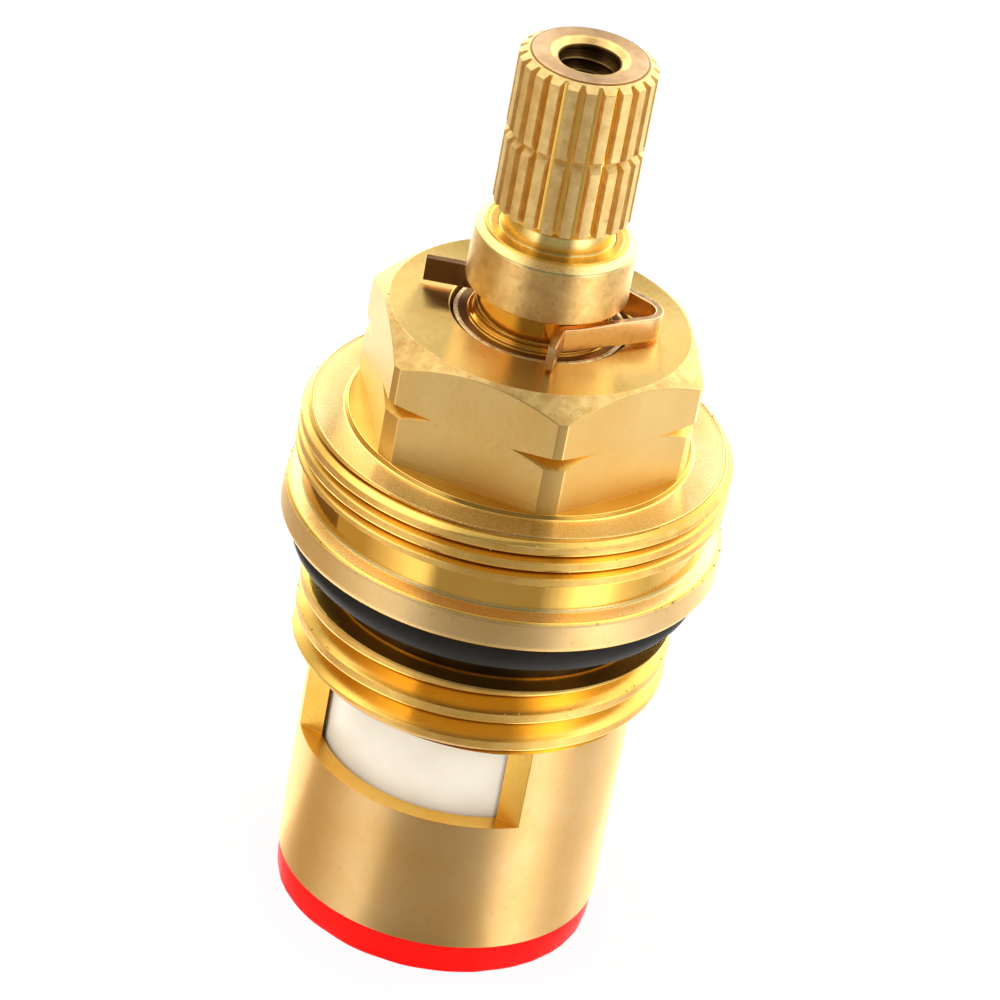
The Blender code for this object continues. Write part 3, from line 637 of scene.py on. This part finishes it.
def toothRise(angles):
    # 1 on a crest, 0 on a root, straight flanks between
    pitch = 360 / spindleHead["teeth"]
    away = np.abs((np.degrees(angles) - spindleHead["turn"] + pitch / 2) % pitch - pitch / 2)
    crest = np.degrees(spindleHead["crestWidth"] / 2 / spindleHead["crest"])
    root = pitch / 2 - np.degrees(spindleHead["rootWidth"] / 2 / spindleHead["root"])
    return np.clip((root - away) / (root - crest), 0, 1)


def makeSpindleHead():
    s = spindleHead
    pitch = 360 / s["teeth"]
    crest = np.degrees(s["crestWidth"] / 2 / s["crest"])
    root = pitch / 2 - np.degrees(s["rootWidth"] / 2 / s["root"])
    offsets = np.array([-root - 0.25, -root, -root + 0.25, (-root - crest) / 2, -crest - 0.25, -crest,
                        -crest + 0.3, -crest / 2, 0, crest / 2, crest - 0.3, crest, crest + 0.25,
                        (root + crest) / 2, root - 0.25, root, root + 0.25, pitch / 2])
    angles = np.concatenate([s["turn"] + k * pitch + offsets for k in range(s["teeth"])])
    angles = np.radians(np.sort(angles % 360))
    rise = toothRise(angles)
    tooth = s["root"] + (s["crest"] - s["root"]) * rise
    top = spindleTop
    chamferSlope = s["chamfer"] / (s["crest"] - s["rim"])
    toothTop = top - (tooth - s["rim"]) * chamferSlope
    cutIn = np.minimum(tooth, s["crest"] - s["notchDepth"])
    bite = (tooth - cutIn) / s["notchDepth"]
    soft = 0.05 * mm
    corners = [
        (0, s["split"], 0, "turned"),
        (s["shaft"], s["split"], 0, "turned"),
        (s["shaft"], s["shoulder"], 0.08 * mm, "burr"),
        # A dark band round the shoulder's outer edge, beside the gap to the bore: painted shade
        (s["shaft"] - 0.30 * mm, s["shoulder"] + 0.02 * mm, 0.04 * mm, "edgeShade"),
        (s["step"], s["shoulder"], soft, "turned"),
        (s["step"], s["shoulder"] + 0.2 * mm, soft, "polished"),
        (s["grooveRadius"] + 0.03 * mm, s["shoulder"] + 0.22 * mm, 0.03 * mm, "polished"),
        (s["grooveRadius"] + 0.02 * mm, s["shoulder"] + 0.5 * mm, 0.02 * mm, "polished"),
        (s["grooveRadius"], s["shoulder"] + 0.52 * mm, 0.02 * mm, "polished"),
        (s["grooveRadius"], s["collarLow"], 0.05 * mm, "turned"),
        (s["collar"], s["collarLow"], 0.06 * mm, "cast"),
        (s["collar"], s["collarHigh"], 0.09 * mm, "plate"),
        *((radius, s["collarHigh"] + lift, 0.03 * mm, "turned") for radius, lift in s["collarSteps"]),
        (3.62 * mm, s["collarHigh"] + 0.27 * mm, 0.04 * mm, "turned"),
        (s["neck"] + 0.10 * mm, s["collarHigh"] + 0.26 * mm, 0.06 * mm, "polished"),
        (s["neck"], s["collarHigh"] + 0.36 * mm, 0.06 * mm, "neck"),
        (s["neck"], s["splineLow"] - 0.30 * mm, 0.12 * mm, "neck"),
        (s["root"] - 0.05 * mm, s["splineLow"] - 0.02 * mm, 0.03 * mm, "land"),
        (tooth, s["splineLow"] + 0.06 * mm * rise, 0.03 * mm, "land"),
        (tooth, s["notch"] - s["notchHalf"] * bite, 0.02 * mm, "land"),
        (cutIn, s["notch"] + 0.01 * mm * bite, 0.02 * mm, "land"),
        (tooth, s["notch"] + s["notchHalf"] * bite, 0.02 * mm, "land"),
        (tooth, toothTop, 0.04 * mm, "land"),
        # A dark band along the top's rim: painted shade
        (s["rim"] + 0.04 * mm, top - 0.04 * mm, 0.04 * mm, "edgeShade"),
        (s["rim"] - 0.10 * mm, top, 0.05 * mm, "face"),
        (s["sink"], top - 0.01 * mm, 0.10 * mm, "cast"),
        # The hole's mouth, wall and floor are painted dark: painted shade
        (s["mouth"], top - 0.30 * mm, 0.06 * mm, "paintedShade"),
        (s["mouth"], top - 0.42 * mm, 0.02 * mm, "paintedShade"),
        (s["hole"], top - 0.45 * mm, 0.02 * mm, "paintedShade"),
        (s["hole"], top - s["holeDepth"], 0.02 * mm, "paintedShade"),
        (0, top - s["holeDepth"] - 0.6 * mm, 0, "paintedShade"),
    ]

    # The roots of the splines are smoother than their lands
    def splineFinish(marks, outline, angles):
        heights = outline[..., 1]
        teeth = (heights > s["splineLow"]) & (heights < top - s["chamfer"])
        teeth &= marks == finishNames.index("land")
        between = np.broadcast_to(rise < 0.05, marks.shape)
        marks[teeth & between] = finishNames.index("hollow")
        return marks

    turnedPiece("spindle_head", corners, angles, "spindle", wrap=False, sharp=50.0, mark=splineFinish,
                **onSpindle)


makeSpindleHead()

# The thread inside the spindle's hole: all but its crests painted dark as painted shade
screwThread = {
    "top": spindleTop - 0.46 * mm, "bottom": spindleTop - 11.9 * mm, "pitch": 0.7 * mm,
    "crest": 1.64 * mm, "root": 1.98 * mm, "back": 2.04 * mm, "columns": 96, "rowsPerTurn": 12,
    "phase": 0.0, "crestShare": 0.12, "rootShare": 0.12, "bevelShare": 0.05, "bevelDrop": 0.1,
    "finish": {"crest": "torn", "bevel": "paintedShade", "hollow": "paintedShade", "root": "paintedShade", "face": "paintedShade"},
    "rootReach": 0.06,
    "topFace": [(2.04 * mm, 0.0)],
    "topLead": {"radius": 2.0 * mm, "slope": 1.0},
    "bottomLead": {"radius": 1.99 * mm, "slope": 1.0},
}
threadPiece("screw_thread", screwThread, "spindle", **onSpindle)
print("spindle head turned")


# Pieces that keep their solid's own shape: a copy is merged, trimmed if asked, and its edges broken
def refined(name, source, body, material, edge, keepBelow=None):
    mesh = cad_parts[source].data.copy()
    mesh.name = name
    shape = bmesh.new()
    shape.from_mesh(mesh)
    bmesh.ops.remove_doubles(shape, verts=shape.verts, dist=mergeWithin)
    if keepBelow is not None:
        everything = shape.verts[:] + shape.edges[:] + shape.faces[:]
        bmesh.ops.bisect_plane(shape, geom=everything, plane_co=(0, 0, keepBelow), plane_no=(0, 0, 1),
                               clear_outer=True)
        rim = [e for e in shape.edges if e.is_boundary]
        bmesh.ops.edgeloop_fill(shape, edges=rim)
    bmesh.ops.dissolve_limit(shape, angle_limit=np.radians(1), verts=shape.verts, edges=shape.edges)
    shape.to_mesh(mesh)
    shape.free()
    mesh.materials.clear()
    breakEdges(showPiece(name, mesh, body, [material], [source], 30), edge)


# Ceramic: a dense off-white body with faint grey specks and a soft sheen
ceramic = {"tone": rgb(240, 232, 215), "shade": rgb(229, 219, 200), "speck": rgb(190, 182, 170),
           "rough": 0.28, "grain": 5400.0}


def ceramicMaterial():
    material, tree, shader = newMaterial("whiteCeramic")
    place = node(tree, "ShaderNodeTexCoord").outputs["Object"]
    cloud = noise(tree, place, 260.0, 3.0)
    grain = noise(tree, place, ceramic["grain"], 2.0)
    tone = mixColour(tree, ramp(tree, cloud, 0.3, 0.7), ceramic["tone"], ceramic["shade"])
    tone = mixColour(tree, math(tree, "MULTIPLY", ramp(tree, grain, 0.66, 0.8), 0.25), tone, ceramic["speck"])
    fill(tree, shader, {
        "Base Color": tone, "Subsurface Weight": 0.08, "Subsurface Scale": 0.4 * mm,
        "Roughness": math(tree, "ADD", ceramic["rough"], math(tree, "MULTIPLY", grain, 0.12)),
        "Normal": bump(tree, math(tree, "MULTIPLY", grain, 0.002 * mm)),
    })
    return material


# Plastic and rubber: one tone with a mottled roughness and a moulded grain
def softMaterial(name, settings):
    material, tree, shader = newMaterial(name)
    place = node(tree, "ShaderNodeTexCoord").outputs["Object"]
    cloud = noise(tree, place, settings["cloud"], 3.0)
    grain = noise(tree, place, settings["grain"], 3.0, 0.6)
    tone = mixColour(tree, ramp(tree, cloud, 0.35, 0.65), settings["tone"], settings["shade"])
    tone = mixColour(tree, math(tree, "MULTIPLY", ramp(tree, grain, 0.66, 0.76), settings["dust"]),
                     tone, settings["dustTone"])
    fill(tree, shader, {
        "Base Color": tone, "Specular IOR Level": settings["gloss"],
        "Roughness": math(tree, "ADD", settings["rough"], math(tree, "MULTIPLY", cloud, 0.2)),
        "Normal": bump(tree, math(tree, "MULTIPLY", grain, settings["depth"])),
        "Subsurface Weight": settings["glow"], "Subsurface Scale": 0.5 * mm,
    })
    return material


rubber = {"tone": rgb(24, 22, 19), "shade": rgb(33, 30, 26), "rough": 0.46, "cloud": 300.0, "grain": 4000.0,
          "depth": 0.006 * mm, "dust": 0.15, "dustTone": rgb(110, 105, 98), "gloss": 0.3, "glow": 0.0}
silicone = {"tone": rgb(250, 12, 3), "shade": rgb(240, 8, 2), "rough": 0.34, "cloud": 200.0, "gloss": 0.12,
            "grain": 2500.0, "depth": 0.006 * mm, "dust": 0.1, "dustTone": rgb(255, 90, 60), "glow": 0.1}
plastic = {"tone": rgb(236, 236, 232), "shade": rgb(226, 226, 220), "rough": 0.4, "cloud": 250.0,
           "grain": 3000.0, "depth": 0.003 * mm, "dust": 0.05, "dustTone": rgb(190, 190, 180), "gloss": 0.5,
           "glow": 0.0}

whiteCeramic = ceramicMaterial()
blackRubber = softMaterial("blackRubber", rubber)
redSilicone = softMaterial("redSilicone", silicone)
whitePlastic = softMaterial("whitePlastic", plastic)

refined("spindle_shaft", "spindle", "spindle", finishes["turned"], 0.08 * mm,
        keepBelow=spindleHead["split"] - 0.02 * mm)
refined("upper_disc", "moving_disc", "disc", whiteCeramic, 0.12 * mm)
refined("lower_disc", "fixed_disc", "body", whiteCeramic, 0.12 * mm)
refined("washer", "thrust_washer", "body", whitePlastic, 0.06 * mm)
refined("support_ring", "seal_support_ring", "body", whitePlastic, 0.08 * mm)
print("inner pieces refined")


# An O-ring: a circle carried round the axis, its radius and section a little uneven, with the mould's fine
# line round the outside
def oRing(name, source, body, section, columns, sides, unevenness):
    low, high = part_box(source)
    middle = (high.x - low.x) / 2 - section / 2
    level = (low.z + high.z) / 2
    angles = np.linspace(0, 2 * np.pi, columns, endpoint=False)
    turn = np.linspace(0, 2 * np.pi, sides, endpoint=False)[:, None]
    swell = 1 + unevenness * (np.sin(3 * angles + 1) + 0.6 * np.sin(7 * angles + 2))
    flash = 1 + 0.012 * np.exp(-((np.cos(turn) - 1) / 0.01) ** 2)
    radius = middle + section / 2 * np.cos(turn) * swell * flash
    height = level + section / 2 * np.sin(turn) * swell
    faces, _ = gridFaces(sides, columns, wrapRows=True)
    points = revolve(np.stack([radius, height], -1), angles)
    addPiece(name, points, faces.tolist(), body, [blackRubber], slotName="black_rubber", nodes=[source],
             sharp=180.0)


oRing("body_ring", "body_o_ring", "body", 2.1 * mm, 360, 48, 0.004)
oRing("shaft_ring_upper", "spindle_o_ring_upper", "spindle", 1.43 * mm, 160, 32, 0.0)
oRing("shaft_ring_lower", "spindle_o_ring_lower", "spindle", 1.43 * mm, 160, 32, 0.0)

# The red seal: a flange with a slightly wavy trimmed edge, and the spigot behind the sleeve

redSeal = {"flange": 9.05 * mm, "spigot": 7.8 * mm, "bore": 5.7 * mm, "top": 5.0 * mm, "wave": 0.03 * mm}


def makeSeal():
    angles = degreesAround(1.0)
    wave = np.sin(5 * angles + 0.4) + 0.7 * np.sin(11 * angles + 2) + 0.5 * np.sin(23 * angles)
    wave = redSeal["wave"] * np.abs(wave)
    corners = [
        (redSeal["bore"], redSeal["top"], 0.1 * mm, "turned"),
        (redSeal["spigot"], redSeal["top"], 0.2 * mm, "turned"),
        (redSeal["spigot"], sealTop, 0.02 * mm, "turned"),
        (redSeal["flange"] - 0.03 * mm, sealTop, 0.08 * mm, "turned"),
        (redSeal["flange"] - wave * 0.4, sealTop * 0.5, 0.3 * mm, "turned"),
        (redSeal["flange"] - 0.06 * mm - wave, 0, 0.22 * mm, "turned"),
        (redSeal["bore"], 0, 0.15 * mm, "turned"),
    ]
    outline, _ = softOutline(corners, len(angles), 6)
    faces, _ = gridFaces(len(outline), len(angles), wrapRows=True)
    addPiece("red_seal", revolve(outline, angles), faces.tolist(), "body", [redSilicone],
             slotName="red_silicone", nodes=["bottom_seal"], sharp=60.0)


makeSeal()
print("rubber parts moulded")

# The retaining clip: a flat strip carried along its bent path

clip = {
    "low": 38.0 * mm, "high": 39.4 * mm, "thick": 0.45 * mm, "wrap": 4.025 * mm, "apex": 7.13 * mm,
    "turn": 106.0, "frontEnd": -72.0, "backEnd": 163.0, "frontEar": 2.3 * mm, "frontEarTurn": -98.0,
    "backEar": 2.8 * mm, "backEarTurn": 180.0, "loop": 1.1 * mm, "bend": 0.45 * mm, "edge": 0.07 * mm,
    "frontSteps": 5, "backSteps": 14, "bendSteps": 8, "loopSteps": 24, "steps": 420, "sag": 0.02 * mm,
}

# Copper strip: warm metal, tarnished brown in broad patches, with painted shade browning it towards the end
# behind the spindle, and rolling lines along the strip
copper = {"bright": rgb(252, 212, 160), "warm": rgb(246, 198, 138), "tarnishAndShade": rgb(146, 98, 58), "rough": 0.2}


def copperMaterial():
    material, tree, shader = newMaterial("copperStrip")
    place = node(tree, "ShaderNodeTexCoord").outputs["Object"]
    parts = node(tree, "ShaderNodeSeparateXYZ", {0: place})
    cloud = noise(tree, place, 330.0, 4.0)
    fine = noise(tree, place, 2600.0, 3.0)
    stretched = node(tree, "ShaderNodeMapping", {"Vector": place, "Scale": (0.15, 0.15, 1.0)}).outputs[0]
    lines = noise(tree, stretched, 9000.0, 3.0)
    tone = mixColour(tree, ramp(tree, cloud, 0.35, 0.65), copper["bright"], copper["warm"])
    # Painted shade: the strip browns towards its end behind the spindle, on top of the tarnished patches
    tailShade = ramp(tree, math(tree, "MULTIPLY", parts.outputs[0], -1.0), 3.0 * mm, 5.0 * mm)
    spots = ramp(tree, math(tree, "MULTIPLY", cloud, fine), 0.30, 0.42)
    tarnishAndShadeMix = math(tree, "MAXIMUM", math(tree, "MULTIPLY", tailShade, 0.85), math(tree, "MULTIPLY", spots, 0.25))
    tone = mixColour(tree, tarnishAndShadeMix, tone, copper["tarnishAndShade"])
    height = math(tree, "ADD", math(tree, "MULTIPLY", lines, 0.002 * mm),
                  math(tree, "MULTIPLY", fine, 0.004 * mm))
    rough = math(tree, "ADD", copper["rough"], math(tree, "MULTIPLY", fine, 0.2))
    fill(tree, shader, {
        "Base Color": tone, "Metallic": 1.0, "Roughness": rough, "Normal": bump(tree, height),
    })
    return material


def flatSpot(radius, angle):
    a = np.radians(angle)
    return np.array([radius * np.sin(a), -radius * np.cos(a)])


# One corner of an open line becomes an arc of that radius
def roundCorner(line, corner, radius, count):
    here = line[corner]
    back = line[corner - 1] - here
    on = line[corner + 1] - here
    back, on = back / np.linalg.norm(back), on / np.linalg.norm(on)
    half = np.arccos(np.clip(back @ on, -1, 1)) / 2
    axis = (back + on) / np.linalg.norm(back + on)
    centre = here + axis * radius / np.sin(half)
    start = here + back * radius / np.tan(half) - centre
    end = here + on * radius / np.tan(half) - centre
    sweep = np.pi - 2 * half
    side = np.sign(start[0] * end[1] - start[1] * end[0])
    a = np.linspace(0, sweep, count) * side
    arc = centre + np.stack([start[0] * np.cos(a) - start[1] * np.sin(a),
                             start[0] * np.sin(a) + start[1] * np.cos(a)], -1)
    return np.concatenate([line[:corner], arc, line[corner + 1 :]])


def clipPath():
    c = clip
    tangent = np.degrees(np.arccos(c["wrap"] / c["apex"]))
    front = np.array([flatSpot(c["wrap"], a) for a in np.linspace(c["frontEnd"], -tangent, c["frontSteps"])])
    back = np.array([flatSpot(c["wrap"], a) for a in np.linspace(tangent, c["backEnd"], c["backSteps"])])
    frontTip = front[0] + flatSpot(c["frontEar"], c["frontEarTurn"])
    backTip = back[-1] + flatSpot(c["backEar"], c["backEarTurn"])
    line = np.concatenate([[frontTip], front, [flatSpot(c["apex"], 0)], back, [backTip]])
    line = roundCorner(line, len(line) - 2, c["bend"], c["bendSteps"])
    line = roundCorner(line, 1 + len(front), c["loop"], c["loopSteps"])
    line = roundCorner(line, 1, c["bend"], c["bendSteps"])
    # Evenly spaced again, then turned to its place round the spindle
    step = np.concatenate([[0], np.cumsum(np.linalg.norm(np.diff(line, axis=0), axis=1))])
    even = np.linspace(0, step[-1], c["steps"])
    line = np.stack([np.interp(even, step, line[:, 0]), np.interp(even, step, line[:, 1])], -1)
    a = np.radians(c["turn"])
    return line @ np.array([[np.cos(a), np.sin(a)], [-np.sin(a), np.cos(a)]]), even


def makeClip():
    path, along = clipPath()
    for _ in range(3):
        path[1:-1] = (path[:-2] + 2 * path[1:-1] + path[2:]) / 4
    run = np.gradient(path, axis=0)
    run /= np.linalg.norm(run, axis=1)[:, None]
    side = np.stack([-run[:, 1], run[:, 0]], -1)
    # The strip's section is a rectangle with parabola corners, as the turned outlines are
    half, low, high = clip["thick"] / 2, clip["low"], clip["high"]
    loop, _ = softOutline(
        [(-half, low, clip["edge"], "turned"), (half, low, clip["edge"], "turned"),
         (half, high, clip["edge"], "turned"), (-half, high, clip["edge"], "turned")], 1, 4)
    loop = loop[:, 0]
    sag = clip["sag"] * np.sin(along / along[-1] * 9)
    points = np.empty((len(loop), len(path), 3))
    points[..., :2] = path[None] + loop[:, :1, None] * side[None]
    points[..., 2] = loop[:, 1:2] + sag[None]
    faces = openFaces(len(loop), len(path), wrapRows=True).tolist()
    # Each cut end is closed by a fan about its middle
    points = points.reshape(-1, 3)
    for column in (0, len(path) - 1):
        rim = np.arange(len(loop)) * len(path) + column
        faces += np.stack([rim, np.roll(rim, -1), np.full_like(rim, len(points))], -1).tolist()
        points = np.concatenate([points, points[rim].mean(0)[None]])
    addPiece("clip_strip", points, faces, "spindle", [copperMaterial()], slotName="copper_strip",
             nodes=["retaining_clip"], sharp=50.0)


makeClip()
print("clip bent")

# Studio: a pale floor, a world that is white to the camera and gives the metal something to reflect

studio = {
    "floorSize": 3.0, "cameraTurn": 16.0, "elevation": 31.449, "distance": 331.91 * mm,
    "roll": 10.927, "lens": 216.04, "sensor": 36.0, "pixels": 1000, "aimPixel": (499.404, 529.1),
    "aimHeight": ringLow, "floorTone": (0.86, 0.86, 0.85, 1), "floorGlow": 0.92,
    "cardSteps": 25, "cardLift": 0.2 * mm,
}


def makeCamera():
    s = studio
    turn, rise, roll = np.radians([s["cameraTurn"], s["elevation"], s["roll"]])
    back = np.array([np.sin(turn) * np.cos(rise), -np.cos(turn) * np.cos(rise), np.sin(rise)])
    right = np.array([np.cos(turn), np.sin(turn), 0])
    up = np.cross(back, right)
    level = np.stack([right, up, back])
    tilt = np.array([[np.cos(roll), np.sin(roll), 0], [-np.sin(roll), np.cos(roll), 0], [0, 0, 1]])
    focal = s["lens"] / s["sensor"] * s["pixels"]
    middle = s["pixels"] / 2
    aim = Vector(((s["aimPixel"][0] - middle) / focal, -(s["aimPixel"][1] - middle) / focal, -1)).normalized()
    swing = Vector((0, 0, -1)).rotation_difference(aim).to_matrix()
    turnMatrix = (swing @ Matrix((tilt @ level).tolist())).transposed()
    place = Vector(back * s["distance"]) + Vector((0, 0, s["aimHeight"]))
    data = bpy.data.cameras.new("camera")
    data.lens = s["lens"]
    data.sensor_width = s["sensor"]
    data.clip_start = 0.01
    camera = newObject("camera", data)
    camera.matrix_world = Matrix.Translation(place) @ turnMatrix.to_4x4()
    bpy.context.scene.camera = camera


# The world shows white to the camera. To the metal it is a light tent with a grey flag in front, bright
# sheets at the back corners and a dark slot between them that runs on over the top. Each row holds (angle
# round the object from the camera, level, warmth) at one steepness.
tent = {
    "under": [(-180, 1.2, 0), (-120, 1.4, 0), (-90, 2.2, 0), (-66, 2.2, 0), (-54, 0.08, 0), (54, 0.08, 0),
              (66, 2.2, 0), (90, 2.2, 0), (120, 1.4, 0)],
    "low": [(-180, 1.4, 0), (-168, 2.4, 0), (-154, 2.2, 0), (-142, 1.0, 0), (-120, 0.7, 0.4),
            (-104, 0.5, 0.8), (-78, 0.5, 0.8), (-62, 0.85, 0.2), (-46, 1.4, 0), (-38, 1.4, 0),
            (-29, 0.36, 0.2), (29, 0.36, 0.2), (40, 0.9, 0), (52, 2.0, 0), (64, 2.4, 0), (80, 1.05, 0),
            (98, 0.7, 0), (118, 1.1, 0), (140, 1.6, 0), (154, 2.4, 0), (168, 2.4, 0)],
    "level": [(-180, 0.05, 0), (-176, 0.08, 0), (-171, 2.2, 0), (-152, 2.8, 0), (-138, 0.9, 0),
              (-122, 0.5, 0.4), (-100, 0.4, 0.6), (-75, 0.5, 0.4), (-45, 0.7, 0), (-30, 0.14, 0),
              (30, 0.14, 0), (45, 0.9, 0), (72, 0.6, 0), (100, 0.6, 0), (128, 1.6, 0), (150, 2.8, 0),
              (171, 2.2, 0), (176, 0.08, 0)],
    "high": [(-180, 0.05, 0), (-176, 0.08, 0), (-171, 2.2, 0), (-150, 2.6, 0), (-130, 2.0, 0), (-108, 2.2, 0),
             (-70, 1.3, 0), (-35, 0.24, 0), (35, 0.24, 0), (70, 1.3, 0), (108, 2.2, 0), (130, 2.0, 0),
             (150, 2.6, 0), (171, 2.2, 0), (176, 0.08, 0)],
    "top": [(-180, 0.6, 0), (0, 0.6, 0)],
    "edges": [("low", -0.80, -0.62), ("level", -0.20, 0.10), ("high", 0.60, 0.80), ("top", 0.945, 0.985)],
    "peak": 2.8, "warm": (1.0, 0.70, 0.22), "diffuse": 0.9,
}


def makeWorld():
    world = bpy.data.worlds.new("studio")
    bpy.context.scene.world = world
    world.use_nodes = True
    tree = world.node_tree
    tree.nodes.clear()
    output = tree.nodes.new("ShaderNodeOutputWorld")
    direction = node(tree, "ShaderNodeTexCoord").outputs["Generated"]
    parts = node(tree, "ShaderNodeSeparateXYZ", {0: direction})
    away = math(tree, "MULTIPLY", parts.outputs[1], -1.0)
    angle = math(tree, "ARCTAN2", parts.outputs[0], away)
    angle = math(tree, "SUBTRACT", angle, np.radians(studio["cameraTurn"]))
    share = math(tree, "FRACT", math(tree, "ADD", math(tree, "DIVIDE", angle, 2 * np.pi), 0.5))
    bands = {}
    for row in ("under", "low", "level", "high", "top"):
        colour = tree.nodes.new("ShaderNodeValToRGB")
        tree.links.new(share, colour.inputs[0])
        stops = colour.color_ramp.elements
        # The last stop repeats the first, so the ring closes
        marks = tent[row] + [(180, *tent[row][0][1:])]
        while len(stops) < len(marks):
            stops.new(0.5)
        for stop, (degrees, level, warmth) in zip(stops, marks):
            stop.position = degrees / 360 + 0.5
            tint = 1 + warmth * (np.array(tent["warm"]) - 1)
            stop.color = (*(level / tent["peak"] * tint), 1)
        bands[row] = colour.outputs[0]
    seen = bands["under"]
    for row, start, end in tent["edges"]:
        seen = mixColour(tree, ramp(tree, parts.outputs[2], start, end), seen, bands[row])
    path = node(tree, "ShaderNodeLightPath")
    glossy = path.outputs["Is Glossy Ray"]
    even = (tent["diffuse"],) * 3 + (1,)
    shown = mixColour(tree, glossy, even, seen)
    shown = mixColour(tree, path.outputs["Is Camera Ray"], shown, (1, 1, 1, 1))
    strength = math(tree, "ADD", math(tree, "MULTIPLY", glossy, tent["peak"] - 1), 1.0)
    background = node(tree, "ShaderNodeBackground", {0: shown, 1: strength})
    tree.links.new(background.outputs[0], output.inputs[0])


def makeFloor():
    # A pale sheet that keeps the object's shadow; the metal looks past it into the tent
    half = studio["floorSize"] / 2
    corner = np.array([[-half, -half, 0], [half, -half, 0], [half, half, 0], [-half, half, 0]])
    mesh = newMesh("floor", corner, [[0, 1, 2, 3]])
    material, tree, shader = newMaterial("paleFloor")
    fill(tree, shader, {"Base Color": studio["floorTone"], "Roughness": 0.9})
    direct = node(tree, "ShaderNodeLightPath").outputs["Is Camera Ray"]
    glow = node(tree, "ShaderNodeEmission", {0: (1, 1, 1, 1), 1: 1.0})
    blend = node(tree, "ShaderNodeMixShader", {0: math(tree, "MULTIPLY", direct, studio["floorGlow"]),
                                               1: shader.outputs[0], 2: glow.outputs[0]})
    showInstead(tree, blend.outputs[0])
    mesh.materials.append(material)
    floor = newObject("floor", mesh)
    floor.visible_glossy = False


# Cards on the floor that only the metal sees: two dark warm ones to the left, which make the flange's left
# side and the collar brown, a white one near the sleeve, and a grey one in front for the sleeve's middle
cards = {
    "flange_card": {"from": -136.0, "to": -76.0, "near": 42 * mm, "far": 54 * mm,
                    "tone": (0.14, 0.085, 0.03)},
    "collar_card": {"from": -104.0, "to": -58.0, "near": 64 * mm, "far": 80 * mm,
                    "tone": (0.24, 0.16, 0.06)},
    "white_card": {"from": -166.0, "to": -80.0, "near": 11 * mm, "far": 35 * mm, "tone": (2.7, 2.6, 2.45)},
    "grey_card": {"from": -14.0, "to": 46.0, "near": 11 * mm, "far": 46 * mm, "tone": (0.52, 0.47, 0.40)},
}


def makeCard(name, card):
    steps, lift = studio["cardSteps"], studio["cardLift"]
    angles = np.radians(np.linspace(card["from"], card["to"], steps))
    ring = np.array([[card["near"], lift], [card["far"], lift]])
    points = revolve(np.broadcast_to(ring[:, None], (2, steps, 2)), angles)
    mesh = newMesh(name, points, openFaces(2, steps).tolist())
    material, tree, shader = newMaterial(name)
    showInstead(tree, node(tree, "ShaderNodeEmission", {0: (*card["tone"], 1), 1: 1.0}).outputs[0])
    mesh.materials.append(material)
    sheet = newObject(name, mesh)
    for ray in ("camera", "diffuse", "shadow", "transmission", "volume_scatter"):
        setattr(sheet, "visible_" + ray, False)


def softLamp(name, place, size, power):
    data = bpy.data.lights.new(name, "AREA")
    data.shape = "RECTANGLE"
    data.size, data.size_y = size
    data.energy = power
    lamp = newObject(name, data)
    lamp.location = place
    lamp.visible_glossy = False
    lamp.rotation_euler = (Vector((0, 0, 25 * mm)) - Vector(place)).to_track_quat("-Z", "Y").to_euler()


def makeLamps():
    softLamp("left_lamp", (-0.5, -0.25, 0.45), (0.35, 0.35), 1.6)
    softLamp("right_lamp", (0.45, -0.35, 0.5), (0.3, 0.3), 1.4)
    softLamp("top_lamp", (0.05, 0.15, 0.6), (0.4, 0.4), 1.2)


makeCamera()
makeWorld()
makeFloor()
for name, card in cards.items():
    makeCard(name, card)
makeLamps()
bpy.context.scene.view_settings.view_transform = "Standard"
print("studio ready")
